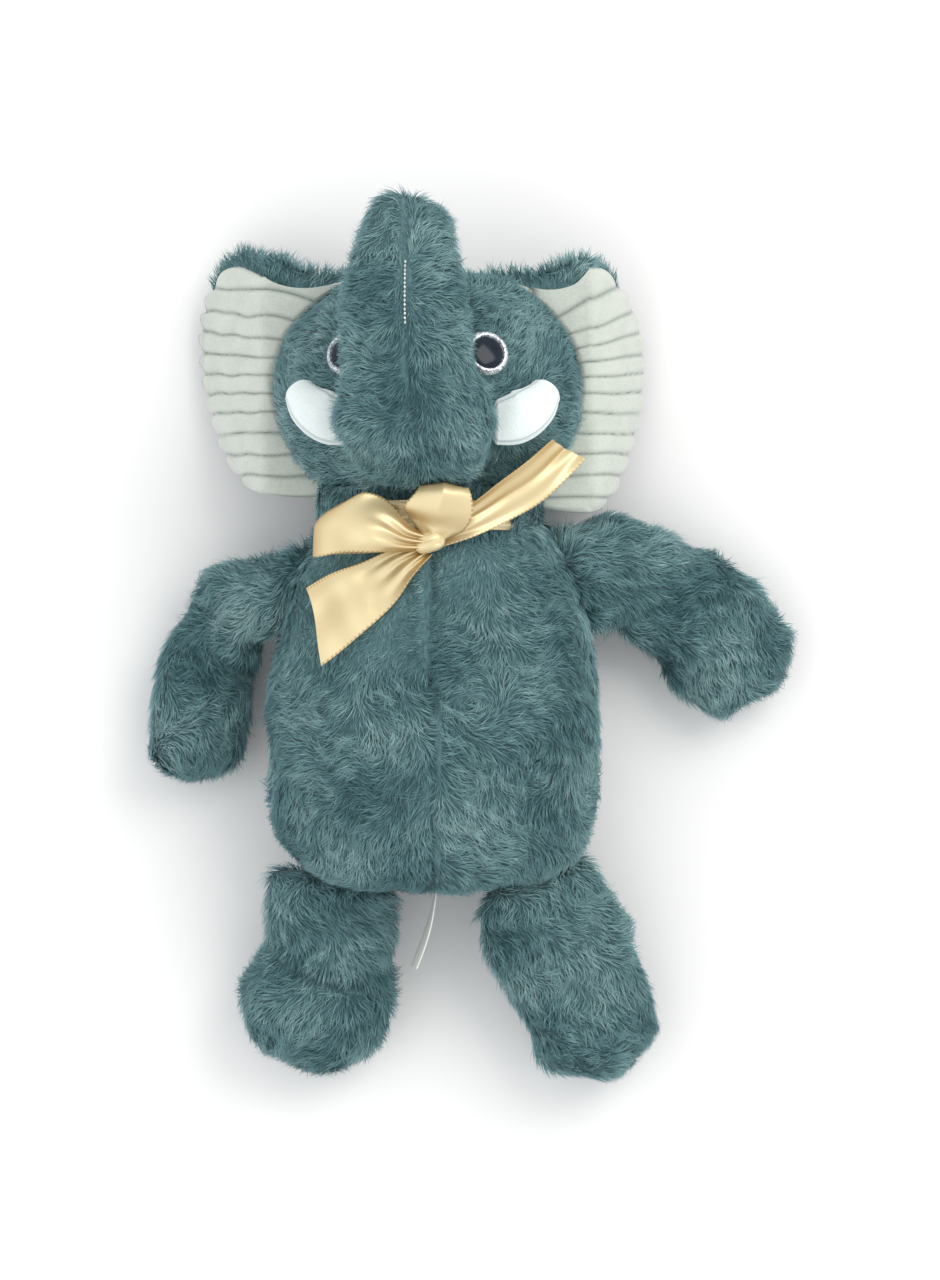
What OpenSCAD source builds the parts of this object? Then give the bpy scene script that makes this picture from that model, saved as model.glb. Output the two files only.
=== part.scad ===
// Stuffed elephant, lying on its back with its belly up and its trunk laid back over its face.
// X runs across the toy, Y from the feet to the top of the head, and Z up from the surface it
// lies on. "left" and "right" are the sides seen by someone who looks down on the belly.
// Every stuffed form is a closed bag of rings. Its plush panels are shells cut from that bag
// along the seam lines, and its stuffing is the same bag, one wall further in.

/* [Plush] */
// Thickness of a plush panel, backing and pressed pile together
plush_wall = 5; // [3:0.5:7]
// Free gap between two sewn parts that bend against each other
seam_gap = 1.2; // [0.8:0.1:2]
// Thickness of the sewing thread
thread_d = 1.6; // [1:0.2:2.4]

/* [Torso] */
// Length of the torso, from the neck seam to the seat
torso_l = 168; // [135:1:200]
// Width of the torso at the shoulders
shoulder_w = 132; // [106:1:158]
// Width of the torso at the hips
hip_w = 160; // [130:1:192]
// Height of the belly above the surface that the toy lies on
torso_h = 104; // [85:1:125]

/* [Head] */
// Width of the head across the cheeks
head_w = 138; // [115:1:166]
// Length of the head, from the chin to the crown
head_l = 109; // [91:1:131]
// Height of the face above the surface that the toy lies on
head_h = 114; // [95:1:137]
// Sideways place of the middle of the face
face_x = -4; // [-8:0.5:8]

/* [Trunk] */
// Length of the trunk along the toy
trunk_l = 124; // [100:1:149]
// Width of the trunk where it leaves the face
trunk_root_w = 68; // [55:1:80]
// Width of the trunk near its tip
trunk_tip_w = 42; // [34:1:52]
// Thickness of the trunk
trunk_t = 34; // [27:1:41]

/* [Ears] */
// How far an ear stands out past the cheek
ear_reach = 26; // [22:1:31]
// Length of an ear along the side of the head
ear_l = 108; // [90:1:129]
// Thickness of the furry back of an ear
ear_fur_t = 4.5; // [3:0.5:6]
// Thickness of the ribbed lining of an ear
ear_lining_t = 4; // [3:0.5:6]

/* [Tusks] */
// Width of a tusk at its root
tusk_w = 24; // [19:1:29]
// Thickness of a tusk
tusk_t = 13; // [10:1:16]
// Wall of the short white plush on a tusk
tusk_wall = 2.5; // [1.5:0.5:3]

/* [Eyes] */
// Outer diameter of the glitter ring
eye_d = 20; // [16:0.5:24]
// Diameter of the dark pupil
pupil_d = 14; // [11:0.5:15]
// Distance from the middle of the face to each eye
eye_spread = 30.5; // [26:0.5:36]
// Length of the stem behind an eye
eye_stem_l = 14; // [11:0.5:17]

/* [Arms] */
// Width of an arm at its root seam
arm_w = 42; // [34:1:50]
// Width of the hand
hand_w = 46; // [38:1:55]
// Thickness of an arm
arm_t = 40; // [32:1:46]
// Distance from the neck down to the middle of an arm's seam
arm_drop = 34; // [28:1:41]

/* [Legs] */
// Width of a leg at its root seam
leg_w = 54; // [44:1:64]
// Width of the foot
foot_w = 60; // [50:1:72]
// Thickness of a leg
leg_t = 50; // [40:1:58]
// Sideways place of the middle of each leg's seam
leg_spread = 45; // [36:1:52]

/* [Ribbon] */
// Width of the satin ribbon
ribbon_w = 25; // [20:1:30]
// Thickness of a solid that stands for the thin ribbon
ribbon_t = 1; // [0.6:0.1:1.6]
// Width of the ribbon where it bunches round the neck
neck_band_w = 13; // [10:1:16]

/* [Label] */
// Length of the care label
label_l = 36; // [29:1:43]
// Width of the care label
label_w = 20; // [16:1:24]

/* [Hidden] */

LEFT = -1;
RIGHT = 1;
fur_colour = [0.35, 0.46, 0.48];
lining_colour = [0.85, 0.88, 0.82];
tusk_colour = [0.92, 0.95, 0.95];
fill_colour = [0.96, 0.96, 0.94];
satin_colour = [0.91, 0.79, 0.56];
pupil_colour = [0.12, 0.15, 0.2];
glitter_colour = [0.78, 0.8, 0.82];
thread_colour = [0.3, 0.38, 0.4];

// ---- Rings round each bag. Seams lie on whole steps of these counts.
torso_sides = 24;
trunk_sides = 20;
limb_sides = 16;
tusk_sides = 12;
// Most of a thin root that one wall may take up
root_wall_share = 0.55;

// ---- Vectors and smooth curves
function unit(v) = v / max(norm(v), 1e-9);
function mix(a, b, f) = a + (b - a) * f;
function clamp01(f) = max(0, min(1, f));
function ease(f) = let(g = clamp01(f)) g * g * (3 - 2 * g);
// Catmull-Rom curve through equally spaced keys, for f from 0 to 1
function along(keys, f) =
    let(n = len(keys) - 1, i = min(floor(f * n), n - 1), t = f * n - i,
        a = keys[max(i - 1, 0)], b = keys[i], c = keys[i + 1], d = keys[min(i + 2, n)])
    b + t * ((c - a) / 2 + t * ((a - 2.5 * b + 2 * c - d / 2) + t * (1.5 * b - 1.5 * c + (d - a) / 2)));

// ---- Bags: lists of rings, each ring a list of points
// An egg-shaped bag along Y. Its outline swells from the end at y0 to the end at y1 as a
// superellipse, and its underside is pressed flat where it rests on Z = 0.
function egg(y0, y1, w0, w1, up, down, z, power, count, sides, x = 0) = [
    for (i = [0:count])
        let(f = i / count, travel = (1 - cos(180 * f)) / 2, r = pow(sin(180 * f), power),
            half_w = mix(w0, w1, travel) / 2)
        [for (j = [0:sides - 1])
            let(a = 360 * j / sides)
            [x + half_w * r * cos(a), mix(y0, y1, travel),
             max(0, z + (sin(a) > 0 ? up : down) * r * sin(a))]]
];
// A limb: keys are [x, y, z, half width, half thickness], rings turn from root_side to stand
// square to the path, and a dome of the given length closes the far end.
function limb_across(keys, f, step = 0.01) =
    let(ahead = along(keys, min(1, f + step)) - along(keys, max(0, f - step)))
    unit([ahead.y, -ahead.x, 0]);
function limb_side(keys, f, root_side) =
    let(way = sign(limb_across(keys, 0) * root_side))
    unit(mix(root_side, limb_across(keys, f) * way, ease(f * 1.6)));
function limb_ring(centre, side, forward, half_w, half_t, sides) =
    let(up = unit(cross(side, forward)), lift = up.z < 0 ? -up : up)
    [for (j = [0:sides - 1])
        let(a = 360 * j / sides) centre + side * half_w * cos(a) + lift * half_t * sin(a)];
function limb(keys, root_side, dome_l, count, dome_count, sides) =
    let(last = keys[len(keys) - 1], step = 0.02,
        tail = last - along(keys, 1 - step),
        heading = unit([tail.x, tail.y, tail.z]),
        end_side = limb_side(keys, 1, root_side))
    concat(
        [for (i = [0:count])
            let(f = i / count, k = along(keys, f),
                ahead = along(keys, min(1, f + step)) - along(keys, max(0, f - step)))
            limb_ring([k.x, k.y, k.z], limb_side(keys, f, root_side),
                      unit([ahead.x, ahead.y, ahead.z]), k[3], k[4], sides)],
        [for (i = [1:dome_count])
            let(a = 90 * i / dome_count)
            limb_ring([last.x, last.y, last.z] + heading * dome_l * sin(a), end_side, heading,
                      last[3] * cos(a), last[4] * cos(a), sides)]);

// ---- Insetting a bag by the thickness of its wall
function ring_centre(ring) = [for (p = ring) 1 / len(ring)] * ring;
function is_pole(ring) = norm(ring[0] - ring[floor(len(ring) / 2)]) < 0.01;
function ring_axis(ring) =
    let(c = ring_centre(ring)) unit(cross(ring[0] - c, ring[floor(len(ring) / 4)] - c));
// Outward normal at ring i, point j
function bag_normal(bag, i, j) =
    let(n = len(bag) - 1, m = len(bag[0]), ring = bag[i],
        raw = unit(cross(ring[(j + 1) % m] - ring[(j + m - 1) % m],
                         bag[min(i + 1, n)][j] - bag[max(i - 1, 0)][j])))
    raw * (ring[j] - ring_centre(ring)) < 0 ? -raw : raw;
// Inside its own plane a ring shrinks as an ellipse does, so that a root that is sewn flat keeps
// its shape, and across that plane it moves by the share of the wall that faces that way. The
// wall thins where the bag itself is thinner than two walls.
function inset_ring(bag, i, wall) =
    let(ring = bag[i], m = len(ring), q = floor(m / 4), axis = ring_axis(ring),
        centre = (ring[q] + ring[3 * q]) / 2,
        u = (ring[0] - ring[2 * q]) / 2, v = (ring[q] - ring[3 * q]) / 2,
        here = min(wall, root_wall_share * norm(v)))
    [for (j = [0:m - 1])
        let(d = ring[j] - centre, lean = i == 0 ? 0 : bag_normal(bag, i, j) * axis,
            across = here * sqrt(1 - lean * lean))
        centre + unit(u) * (d * unit(u)) * (1 - across / norm(u))
               + unit(v) * (d * unit(v)) * (1 - across / norm(v)) - axis * lean * here];
function inset_pole(bag, i, wall) =
    let(way = unit(bag[i][0] - ring_centre(bag[i == 0 ? 1 : i - 1])))
    [for (p = bag[i]) p - way * wall];
function inset(bag, wall) = [
    for (i = [0:len(bag) - 1]) is_pole(bag[i]) ? inset_pole(bag, i, wall) : inset_ring(bag, i, wall)
];

// ---- Solids from bags
function flat(lists) = [for (l = lists) each l];
// Triangles of one cell between two rings, where b follows a and c follows d round the ring
function cell(a, b, c, d, first_pole, last_pole) =
    first_pole ? [[a, d, c]] : last_pole ? [[a, d, b]] : [[a, d, b], [b, d, c]];
// Rings that run the other way round their path need their faces turned over
function facing(bag, faces) =
    let(m = len(bag[0]), here = bag[2], centre = ring_centre(here),
        way = cross(here[0] - centre, here[floor(m / 4)] - centre) * (ring_centre(bag[3]) - centre))
    way > 0 ? faces : [for (f = faces) [for (k = [len(f) - 1:-1:0]) f[k]]];
// The stuffing: the whole inner bag as one solid
module filling(bag, wall) {
    in = inset(bag, wall);
    n = len(in) - 1;
    m = len(in[0]);
    first = is_pole(in[0]);
    last = is_pole(in[n]);
    skin = [for (i = [0:n - 1]) for (j = [0:m - 1])
        let(k = (j + 1) % m,
            a = i * m + (i == 0 && first ? 0 : j), b = i * m + (i == 0 && first ? 0 : k),
            d = (i + 1) * m + (i == n - 1 && last ? 0 : j),
            c = (i + 1) * m + (i == n - 1 && last ? 0 : k))
        each cell(a, b, c, d, i == 0 && first, i == n - 1 && last)];
    root_cap = first ? [] : [[for (j = [0:m - 1]) j]];
    polyhedron(flat(in), facing(bag, concat(skin, root_cap)));
}
// One plush panel: the wall of the bag between ring points j0 and j1
module panel(bag, wall, j0, j1) {
    in = inset(bag, wall);
    n = len(bag) - 1;
    m = len(bag[0]);
    c = j1 - j0 + 1;
    size = (n + 1) * c;
    points = concat([for (ring = bag) for (j = [j0:j1]) ring[j % m]],
                    [for (ring = in) for (j = [j0:j1]) ring[j % m]]);
    first = is_pole(bag[0]);
    last = is_pole(bag[n]);
    function at(i, j) = i * c + ((i == 0 && first) || (i == n && last) ? 0 : j);
    outer = [for (i = [0:n - 1]) for (j = [0:c - 2])
        each cell(at(i, j), at(i, j + 1), at(i + 1, j + 1), at(i + 1, j),
                  i == 0 && first, i == n - 1 && last)];
    inner = [for (f = outer) [f[2] + size, f[1] + size, f[0] + size]];
    edges = [for (i = [0:n - 1]) for (j = [0, c - 1])
        let(a = at(i, j), b = at(i + 1, j))
        each j == 0 ? [[b + size, b, a], [a + size, b + size, a]]
                    : [[a, b, b + size], [a, b + size, a + size]]];
    root = first ? [] : [for (j = [0:c - 2])
        each [[j, j + 1, j + 1 + size], [j, j + 1 + size, j + size]]];
    polyhedron(points, facing(bag, concat(outer, inner, edges, root)));
}
// A slab of cloth between two sheets of points that share their rows and columns
module slab(top, bottom) {
    n = len(top) - 1;
    m = len(top[0]);
    size = (n + 1) * m;
    rim = concat([for (j = [0:m - 1]) j], [for (i = [1:n]) i * m + m - 1],
                 [for (j = [m - 2:-1:0]) n * m + j], [for (i = [n - 1:-1:1]) i * m]);
    k = len(rim);
    cells = [for (i = [0:n - 1]) for (j = [0:m - 2])
        let(a = i * m + j) each [[a, a + 1, a + m + 1], [a, a + m + 1, a + m]]];
    polyhedron(concat(flat(top), flat(bottom)), concat(
        cells,
        [for (f = cells) [f[2] + size, f[1] + size, f[0] + size]],
        [for (q = [0:k - 1]) let(a = rim[q], b = rim[(q + 1) % k])
            each [[b, a, a + size], [b, a + size, b + size]]]));
}

// ---- Torso and head bags
neck_y = 5.5;
torso_z = 0.442 * torso_h;
torso_up = torso_h - torso_z;
torso_press = 4;
torso_power = 0.5;
torso_bag = egg(neck_y, neck_y - torso_l, shoulder_w, hip_w, torso_up, torso_z + torso_press,
                torso_z, torso_power, 12, torso_sides);
neck_play = 3;
chin_y = neck_y + neck_play;
head_z = 0.474 * head_h;
head_press = 2;
head_bag = egg(chin_y, chin_y + head_l, head_w, head_w, head_h - head_z, head_z + head_press,
               head_z, 1, 12, torso_sides, face_x / 2);
head_y = chin_y + head_l / 2;

// Half width of the torso at its side seam, at a place along Y
function torso_half_w(y) =
    let(travel = (neck_y - y) / torso_l, r = pow(sin(acos(1 - 2 * travel)), torso_power))
    mix(shoulder_w, hip_w, travel) / 2 * r;
// Where the seat of the torso lies along Y, at a place along X
function seat_y(x, y = -torso_l, step = 0.5) =
    torso_half_w(y) > abs(x) ? y : seat_y(x, y + step, step);
// Half width of the head at its side seam, and the height of the face over any place
function head_half_w(y) = head_w / 2 * sqrt(max(0, 1 - pow((y - head_y) / (head_l / 2), 2)));
function face_share(x, y) =
    1 - pow((x - face_x / 2) / (head_w / 2), 2) - pow((y - head_y) / (head_l / 2), 2);
function face_z(x, y) = head_z + (head_h - head_z) * sqrt(max(0.02, face_share(x, y)));
function face_normal(x, y) =
    unit([(x - face_x / 2) / pow(head_w / 2, 2), (y - head_y) / pow(head_l / 2, 2),
          (face_z(x, y) - head_z) / pow(head_h - head_z, 2)]);

// ---- Trunk: a limb laid over the face, hinged where its root meets the chin
trunk_clear = 1.5;
trunk_root_y = chin_y + 15;
trunk_half_t = trunk_t / 2;
function trunk_key(f, half_w, half_t, rise) =
    let(y = trunk_root_y + trunk_l * f, x = face_x * (1 + 1.4 * f))
    [x, y, face_z(x, min(y, head_y)) + half_t + trunk_clear + rise, half_w, half_t];
trunk_keys = [
    trunk_key(0.045, 0.36 * trunk_root_w, 0.42 * trunk_half_t, 1),
    trunk_key(0.18, 0.52 * trunk_root_w, 0.86 * trunk_half_t, 0),
    trunk_key(0.36, 0.44 * trunk_root_w, trunk_half_t, 0),
    trunk_key(0.54, 0.42 * trunk_root_w, trunk_half_t, -2),
    trunk_key(0.72, 0.58 * trunk_tip_w, 0.92 * trunk_half_t, -11),
    trunk_key(0.88, 0.46 * trunk_tip_w, 0.82 * trunk_half_t, -26)
];
trunk_bag = limb(trunk_keys, [1, 0, 0], 0.12 * trunk_l, 9, 3, trunk_sides);
trunk_hinge = [face_x, trunk_root_y - 1, face_z(face_x, trunk_root_y - 1) + thread_d / 4];

// How far a limb's root stands off the torso, past the thread that holds it
thread_out = thread_d / 4;
root_out = thread_out + thread_d / 2 + seam_gap;

// ---- Arms: each root is sewn flat to the side of the torso, along the side seam there
arm_y = neck_y - arm_drop;
function side_lean(y, step = 4) =
    atan((torso_half_w(y - step) - torso_half_w(y + step)) / (2 * step));
function arm_root(side) = [side * (torso_half_w(arm_y) + root_out), arm_y, torso_z];
function arm_side(side) = [-side * sin(side_lean(arm_y)), cos(side_lean(arm_y)), 0];
function arm_key(side, out, down, half_w, half_t) =
    let(r = arm_root(side), sink = ease(norm([out, down]) / 45))
    [r.x + side * out, r.y - down, mix(r.z, arm_t / 2 + 1, sink), half_w, half_t];
root_half_t = 2.6;
arm_half_t = arm_t / 2;
left_arm_keys = [
    arm_key(LEFT, 0.6, -0.2, arm_w / 2, root_half_t),
    arm_key(LEFT, 17, 5, 0.47 * arm_w, 0.5 * arm_half_t),
    arm_key(LEFT, 31, 22, 0.45 * arm_w, 0.9 * arm_half_t),
    arm_key(LEFT, 39, 44, 0.43 * hand_w, arm_half_t),
    arm_key(LEFT, 42, 68, 0.42 * hand_w, 0.95 * arm_half_t)
];
right_arm_keys = [
    arm_key(RIGHT, 0.6, -0.2, arm_w / 2, root_half_t),
    arm_key(RIGHT, 18, -6, 0.53 * arm_w, 0.5 * arm_half_t),
    arm_key(RIGHT, 38, 1, 0.55 * arm_w, 0.9 * arm_half_t),
    arm_key(RIGHT, 58, 13, 0.56 * hand_w, arm_half_t),
    arm_key(RIGHT, 70, 29, 0.58 * hand_w, 0.95 * arm_half_t)
];
left_arm_bag = limb(left_arm_keys, arm_side(LEFT), 0.34 * hand_w, 7, 3, limb_sides);
right_arm_bag = limb(right_arm_keys, arm_side(RIGHT), 0.46 * hand_w, 7, 3, limb_sides);

// ---- Legs: each root is sewn flat to the seat of the torso
leg_z = torso_z;
function leg_root(side) = [side * leg_spread, seat_y(leg_spread) - root_out, leg_z];
function leg_side(side, lean) = [cos(lean), side * sin(lean), 0];
function leg_key(side, out, down, half_w, half_t) =
    let(r = leg_root(side), sink = ease(down / 45))
    [r.x + side * out, r.y - down, mix(r.z, leg_t / 2 + 1, sink), half_w, half_t];
left_leg_lean = 11;
right_leg_lean = 24;
leg_half_t = leg_t / 2;
left_leg_keys = [
    leg_key(LEFT, 0, 0.6, leg_w / 2, root_half_t),
    leg_key(LEFT, -1, 20, 0.49 * leg_w, 0.55 * leg_half_t),
    leg_key(LEFT, 3, 38, 0.49 * foot_w, 0.95 * leg_half_t),
    leg_key(LEFT, 9, 54, 0.53 * foot_w, leg_half_t)
];
right_leg_keys = [
    leg_key(RIGHT, 0, 0.6, leg_w / 2, root_half_t),
    leg_key(RIGHT, 10, 21, 0.52 * leg_w, 0.55 * leg_half_t),
    leg_key(RIGHT, 20, 42, 0.48 * foot_w, 0.95 * leg_half_t),
    leg_key(RIGHT, 27, 62, 0.46 * foot_w, leg_half_t)
];
left_leg_bag = limb(left_leg_keys, leg_side(LEFT, left_leg_lean), 0.42 * foot_w, 7, 3, limb_sides);
right_leg_bag = limb(right_leg_keys, leg_side(RIGHT, right_leg_lean), 0.38 * foot_w, 7, 3, limb_sides);

// ---- Tusks: stubby padded crescents, sewn to the face on both sides of the trunk
tusk_sink = 2;
function tusk_key(side, out, y, half_w, half_t) =
    let(x = face_x + side * out)
    [x, y, face_z(x, y) + half_t - tusk_sink, half_w, half_t];
function tusk_keys(side) = [
    tusk_key(side, 0.24 * head_w, head_y - 17, 0.42 * tusk_w, 0.3 * tusk_t),
    tusk_key(side, 0.30 * head_w, head_y - 15, 0.48 * tusk_w, 0.5 * tusk_t),
    tusk_key(side, 0.355 * head_w, head_y - 10, 0.42 * tusk_w, 0.5 * tusk_t),
    tusk_key(side, 0.39 * head_w, head_y - 4, 0.3 * tusk_w, 0.42 * tusk_t)
];
function tusk_bag(side) = limb(tusk_keys(side), [0, 1, 0], 0.2 * tusk_w, 6, 3, tusk_sides);

// ---- Ears: a lining and a furry back, sewn together round the rim and to the cheek
ear_gap = seam_gap + 1.4;
ear_hinge_x = head_w / 2 + ear_gap + face_x / 2;
ear_rows = 14;
ear_columns = 5;
ear_root_z = head_z - 3;
ear_rim_z = ear_fur_t + 6;
ear_low_y = head_y - 0.46 * ear_l;
// Rims of the ears as [share of the reach past the cheek line, share of the ear's length]
left_ear_rim = [[-0.9, 0.0], [0.15, 0.03], [0.74, 0.18], [1.02, 0.4], [1.14, 0.62], [1.05, 0.82],
                [0.68, 0.98], [0.2, 1.0], [-0.2, 0.97], [-0.55, 0.92]];
right_ear_rim = [[-0.9, 0.0], [0.2, 0.03], [0.76, 0.22], [0.97, 0.46], [0.9, 0.68], [0.6, 0.85],
                 [0.28, 0.94], [-0.12, 0.98], [-0.55, 0.92]];
function ear_rim_at(side, f) =
    let(k = along(side == LEFT ? left_ear_rim : right_ear_rim, f))
    [k.x * ear_reach, ear_low_y + k.y * ear_l];
function ear_root_at(f) =
    let(y = ear_low_y + ear_l * mix(0.03, 0.92, f))
    [head_half_w(y) - head_w / 2, y];
// A point of the ear's middle sheet: f runs up the ear, s from the cheek to the rim
function ear_point(side, f, s) =
    let(p = mix(ear_root_at(f), ear_rim_at(side, f), mix(0.02, 1, s)),
        out = min(1, max(0, p.x / ear_reach)))
    [side * (p.x + head_w / 2 + ear_gap) + face_x / 2, p.y,
     mix(ear_root_z, ear_rim_z, pow(out, 1.15))];
function ear_sheet(side) = [
    for (i = [0:ear_rows])
        [for (j = [0:ear_columns]) ear_point(side, i / ear_rows, j / ear_columns)]
];
function sheet_normal(sheet, i, j) =
    let(n = len(sheet) - 1, m = len(sheet[0]) - 1,
        raw = unit(cross(sheet[min(i + 1, n)][j] - sheet[max(i - 1, 0)][j],
                         sheet[i][min(j + 1, m)] - sheet[i][max(j - 1, 0)])))
    raw.z < 0 ? -raw : raw;
// The sheet moved along its normals, less at the sewn rim than in the middle
function raised(sheet, by) = [
    for (i = [0:len(sheet) - 1])
        [for (j = [0:len(sheet[i]) - 1])
            let(n = len(sheet) - 1, m = len(sheet[i]) - 1,
                edge = min(i, n - i, j, m - j) == 0 ? 0.3 : 1)
            sheet[i][j] + sheet_normal(sheet, i, j) * by * edge]
];
module ear_layer(side, by) {
    sheet = ear_sheet(side);
    lifted = raised(sheet, by);
    if ((side == LEFT) == (by > 0)) slab(lifted, sheet);
    else slab(sheet, lifted);
}

// ---- The whole toy's box, from the bags and ears that reach its edges
reach_x = [for (p = concat(flat(left_arm_bag), flat(right_arm_bag), flat(ear_sheet(LEFT)))) p.x];
reach_y = [for (p = concat(flat(trunk_bag), flat(left_leg_bag), flat(right_leg_bag))) p.y];
origin = [(min(reach_x) + max(reach_x)) / 2, (min(reach_y) + max(reach_y)) / 2, 0];
module placed() { translate(-origin) children(); }

// ---- Plush panels and stuffing
module bag_panel(bag, wall, j0, j1, colour) { color(colour) placed() panel(bag, wall, j0, j1); }
module bag_filling(bag, wall) { color(fill_colour) placed() filling(bag, wall); }

module torso_front_left() { bag_panel(torso_bag, plush_wall, 6, 12, fur_colour); }
module torso_front_right() { bag_panel(torso_bag, plush_wall, 0, 6, fur_colour); }
module torso_back() { bag_panel(torso_bag, plush_wall, 12, 24, fur_colour); }
module torso_stuffing() { bag_filling(torso_bag, plush_wall); }

module head_face_left() { bag_panel(head_bag, plush_wall, 6, 12, fur_colour); }
module head_face_right() { bag_panel(head_bag, plush_wall, 0, 6, fur_colour); }
module head_back() { bag_panel(head_bag, plush_wall, 12, 24, fur_colour); }
module head_stuffing() { bag_filling(head_bag, plush_wall); }

module trunk_left() { bag_panel(trunk_bag, plush_wall, 5, 10, fur_colour); }
module trunk_right() { bag_panel(trunk_bag, plush_wall, 0, 5, fur_colour); }
module trunk_top() { bag_panel(trunk_bag, plush_wall, 10, 20, fur_colour); }
module trunk_stuffing() { bag_filling(trunk_bag, plush_wall); }

module left_tusk_front() { bag_panel(tusk_bag(LEFT), tusk_wall, 0, 6, tusk_colour); }
module left_tusk_back() { bag_panel(tusk_bag(LEFT), tusk_wall, 6, 12, tusk_colour); }
module left_tusk_stuffing() { bag_filling(tusk_bag(LEFT), tusk_wall); }
module right_tusk_front() { bag_panel(tusk_bag(RIGHT), tusk_wall, 0, 6, tusk_colour); }
module right_tusk_back() { bag_panel(tusk_bag(RIGHT), tusk_wall, 6, 12, tusk_colour); }
module right_tusk_stuffing() { bag_filling(tusk_bag(RIGHT), tusk_wall); }

module left_arm_front() { bag_panel(left_arm_bag, plush_wall, 0, 8, fur_colour); }
module left_arm_back() { bag_panel(left_arm_bag, plush_wall, 8, 16, fur_colour); }
module left_arm_stuffing() { bag_filling(left_arm_bag, plush_wall); }
module right_arm_front() { bag_panel(right_arm_bag, plush_wall, 0, 8, fur_colour); }
module right_arm_back() { bag_panel(right_arm_bag, plush_wall, 8, 16, fur_colour); }
module right_arm_stuffing() { bag_filling(right_arm_bag, plush_wall); }

module left_leg_front() { bag_panel(left_leg_bag, plush_wall, 0, 8, fur_colour); }
module left_leg_back() { bag_panel(left_leg_bag, plush_wall, 8, 16, fur_colour); }
module left_leg_stuffing() { bag_filling(left_leg_bag, plush_wall); }
module right_leg_front() { bag_panel(right_leg_bag, plush_wall, 0, 8, fur_colour); }
module right_leg_back() { bag_panel(right_leg_bag, plush_wall, 8, 16, fur_colour); }
module right_leg_stuffing() { bag_filling(right_leg_bag, plush_wall); }

// ---- Ears
module left_ear_fur() { color(fur_colour) placed() ear_layer(LEFT, -ear_fur_t); }
module left_ear_lining() { color(lining_colour) placed() ear_layer(LEFT, ear_lining_t); }
module right_ear_fur() { color(fur_colour) placed() ear_layer(RIGHT, -ear_fur_t); }
module right_ear_lining() { color(lining_colour) placed() ear_layer(RIGHT, ear_lining_t); }

// ---- Eyes: a glitter ring, a domed pupil on a stem, and a locking washer inside the head
eye_y = head_y + 13;
eye_mid_x = face_x * 1.6;
ring_h = 2;
ring_seat = 1.2;
ring_lip = 1;
rim_w = (eye_d - pupil_d) / 2;
dome_h = 3.4;
dome_r = (pow(pupil_d / 2, 2) + dome_h * dome_h) / (2 * dome_h);
stem_d = 4;
washer_d = 15;
washer_h = 1.6;
// Stem left showing behind the washer
washer_back = 2;
// Moves an eye piece, made along Z, to its place on the face and turns it square to the plush
module on_face(side) {
    x = eye_mid_x + side * eye_spread;
    out = face_normal(x, eye_y);
    placed() translate([x, eye_y, face_z(x, eye_y)])
        rotate([0, acos(out.z), atan2(out.y, out.x)]) children();
}
module eye_ring(side) {
    color(glitter_colour) on_face(side)
        rotate_extrude($fn = 64)
            polygon([[pupil_d / 2 - ring_lip, 0], [eye_d / 2, 0],
                     [eye_d / 2 - 0.2 * rim_w, 0.6 * ring_h], [eye_d / 2 - 0.5 * rim_w, ring_h],
                     [pupil_d / 2 + 0.25 * rim_w, ring_h], [pupil_d / 2, ring_seat],
                     [pupil_d / 2 - ring_lip, ring_seat]]);
}
module eye_pupil(side) {
    color(pupil_colour) on_face(side) union() {
        intersection() {
            translate([0, 0, ring_seat + dome_h - dome_r]) sphere(r = dome_r, $fn = 64);
            translate([0, 0, ring_seat]) cylinder(h = dome_h + 1, d = pupil_d, $fn = 64);
        }
        translate([0, 0, -eye_stem_l]) cylinder(h = eye_stem_l + ring_seat, d = stem_d, $fn = 32);
    }
}
module eye_washer(side) {
    color(fill_colour) on_face(side) translate([0, 0, washer_back - eye_stem_l])
        difference() {
            cylinder(h = washer_h, d = washer_d, $fn = 48);
            translate([0, 0, -1]) cylinder(h = washer_h + 2, d = stem_d, $fn = 32);
        }
}
module left_eye_ring() { eye_ring(LEFT); }
module left_eye_pupil() { eye_pupil(LEFT); }
module left_eye_washer() { eye_washer(LEFT); }
module right_eye_ring() { eye_ring(RIGHT); }
module right_eye_pupil() { eye_pupil(RIGHT); }
module right_eye_washer() { eye_washer(RIGHT); }

// ---- Sewing thread along each seam that bends
module thread(centre, direction, length, colour) {
    d = unit(direction);
    color(colour) placed() translate(centre)
        rotate([0, acos(d.z), atan2(d.y, d.x)])
            cylinder(h = length, d = thread_d, center = true, $fn = 24);
}
neck_hinge = [0, neck_y + neck_play / 2, (torso_z + head_z) / 2];
neck_thread_l = 24;
module neck_thread() {
    thread([face_x / 4, neck_y - thread_d / 8, neck_hinge.z], [1, 0, 0], neck_thread_l,
           thread_colour);
}
module trunk_thread() { thread(trunk_hinge, [1, 0, 0], 0.5 * trunk_root_w, thread_colour); }
module ear_thread(side) {
    thread([side * head_w / 2 + face_x / 2, head_y, ear_root_z], [0, 1, 0],
           0.16 * ear_l, thread_colour);
}
module left_ear_thread() { ear_thread(LEFT); }
module right_ear_thread() { ear_thread(RIGHT); }
module arm_thread(side) {
    thread(arm_root(side) - [side * (root_out - thread_out), 0, 0], arm_side(side), 0.5 * arm_w,
           thread_colour);
}
module left_arm_thread() { arm_thread(LEFT); }
module right_arm_thread() { arm_thread(RIGHT); }
module leg_thread(side, lean) {
    thread(leg_root(side) + [0, root_out - thread_out, 0], leg_side(side, lean), 0.4 * leg_w,
           thread_colour);
}
module left_leg_thread() { leg_thread(LEFT, left_leg_lean); }
module right_leg_thread() { leg_thread(RIGHT, right_leg_lean); }

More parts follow.
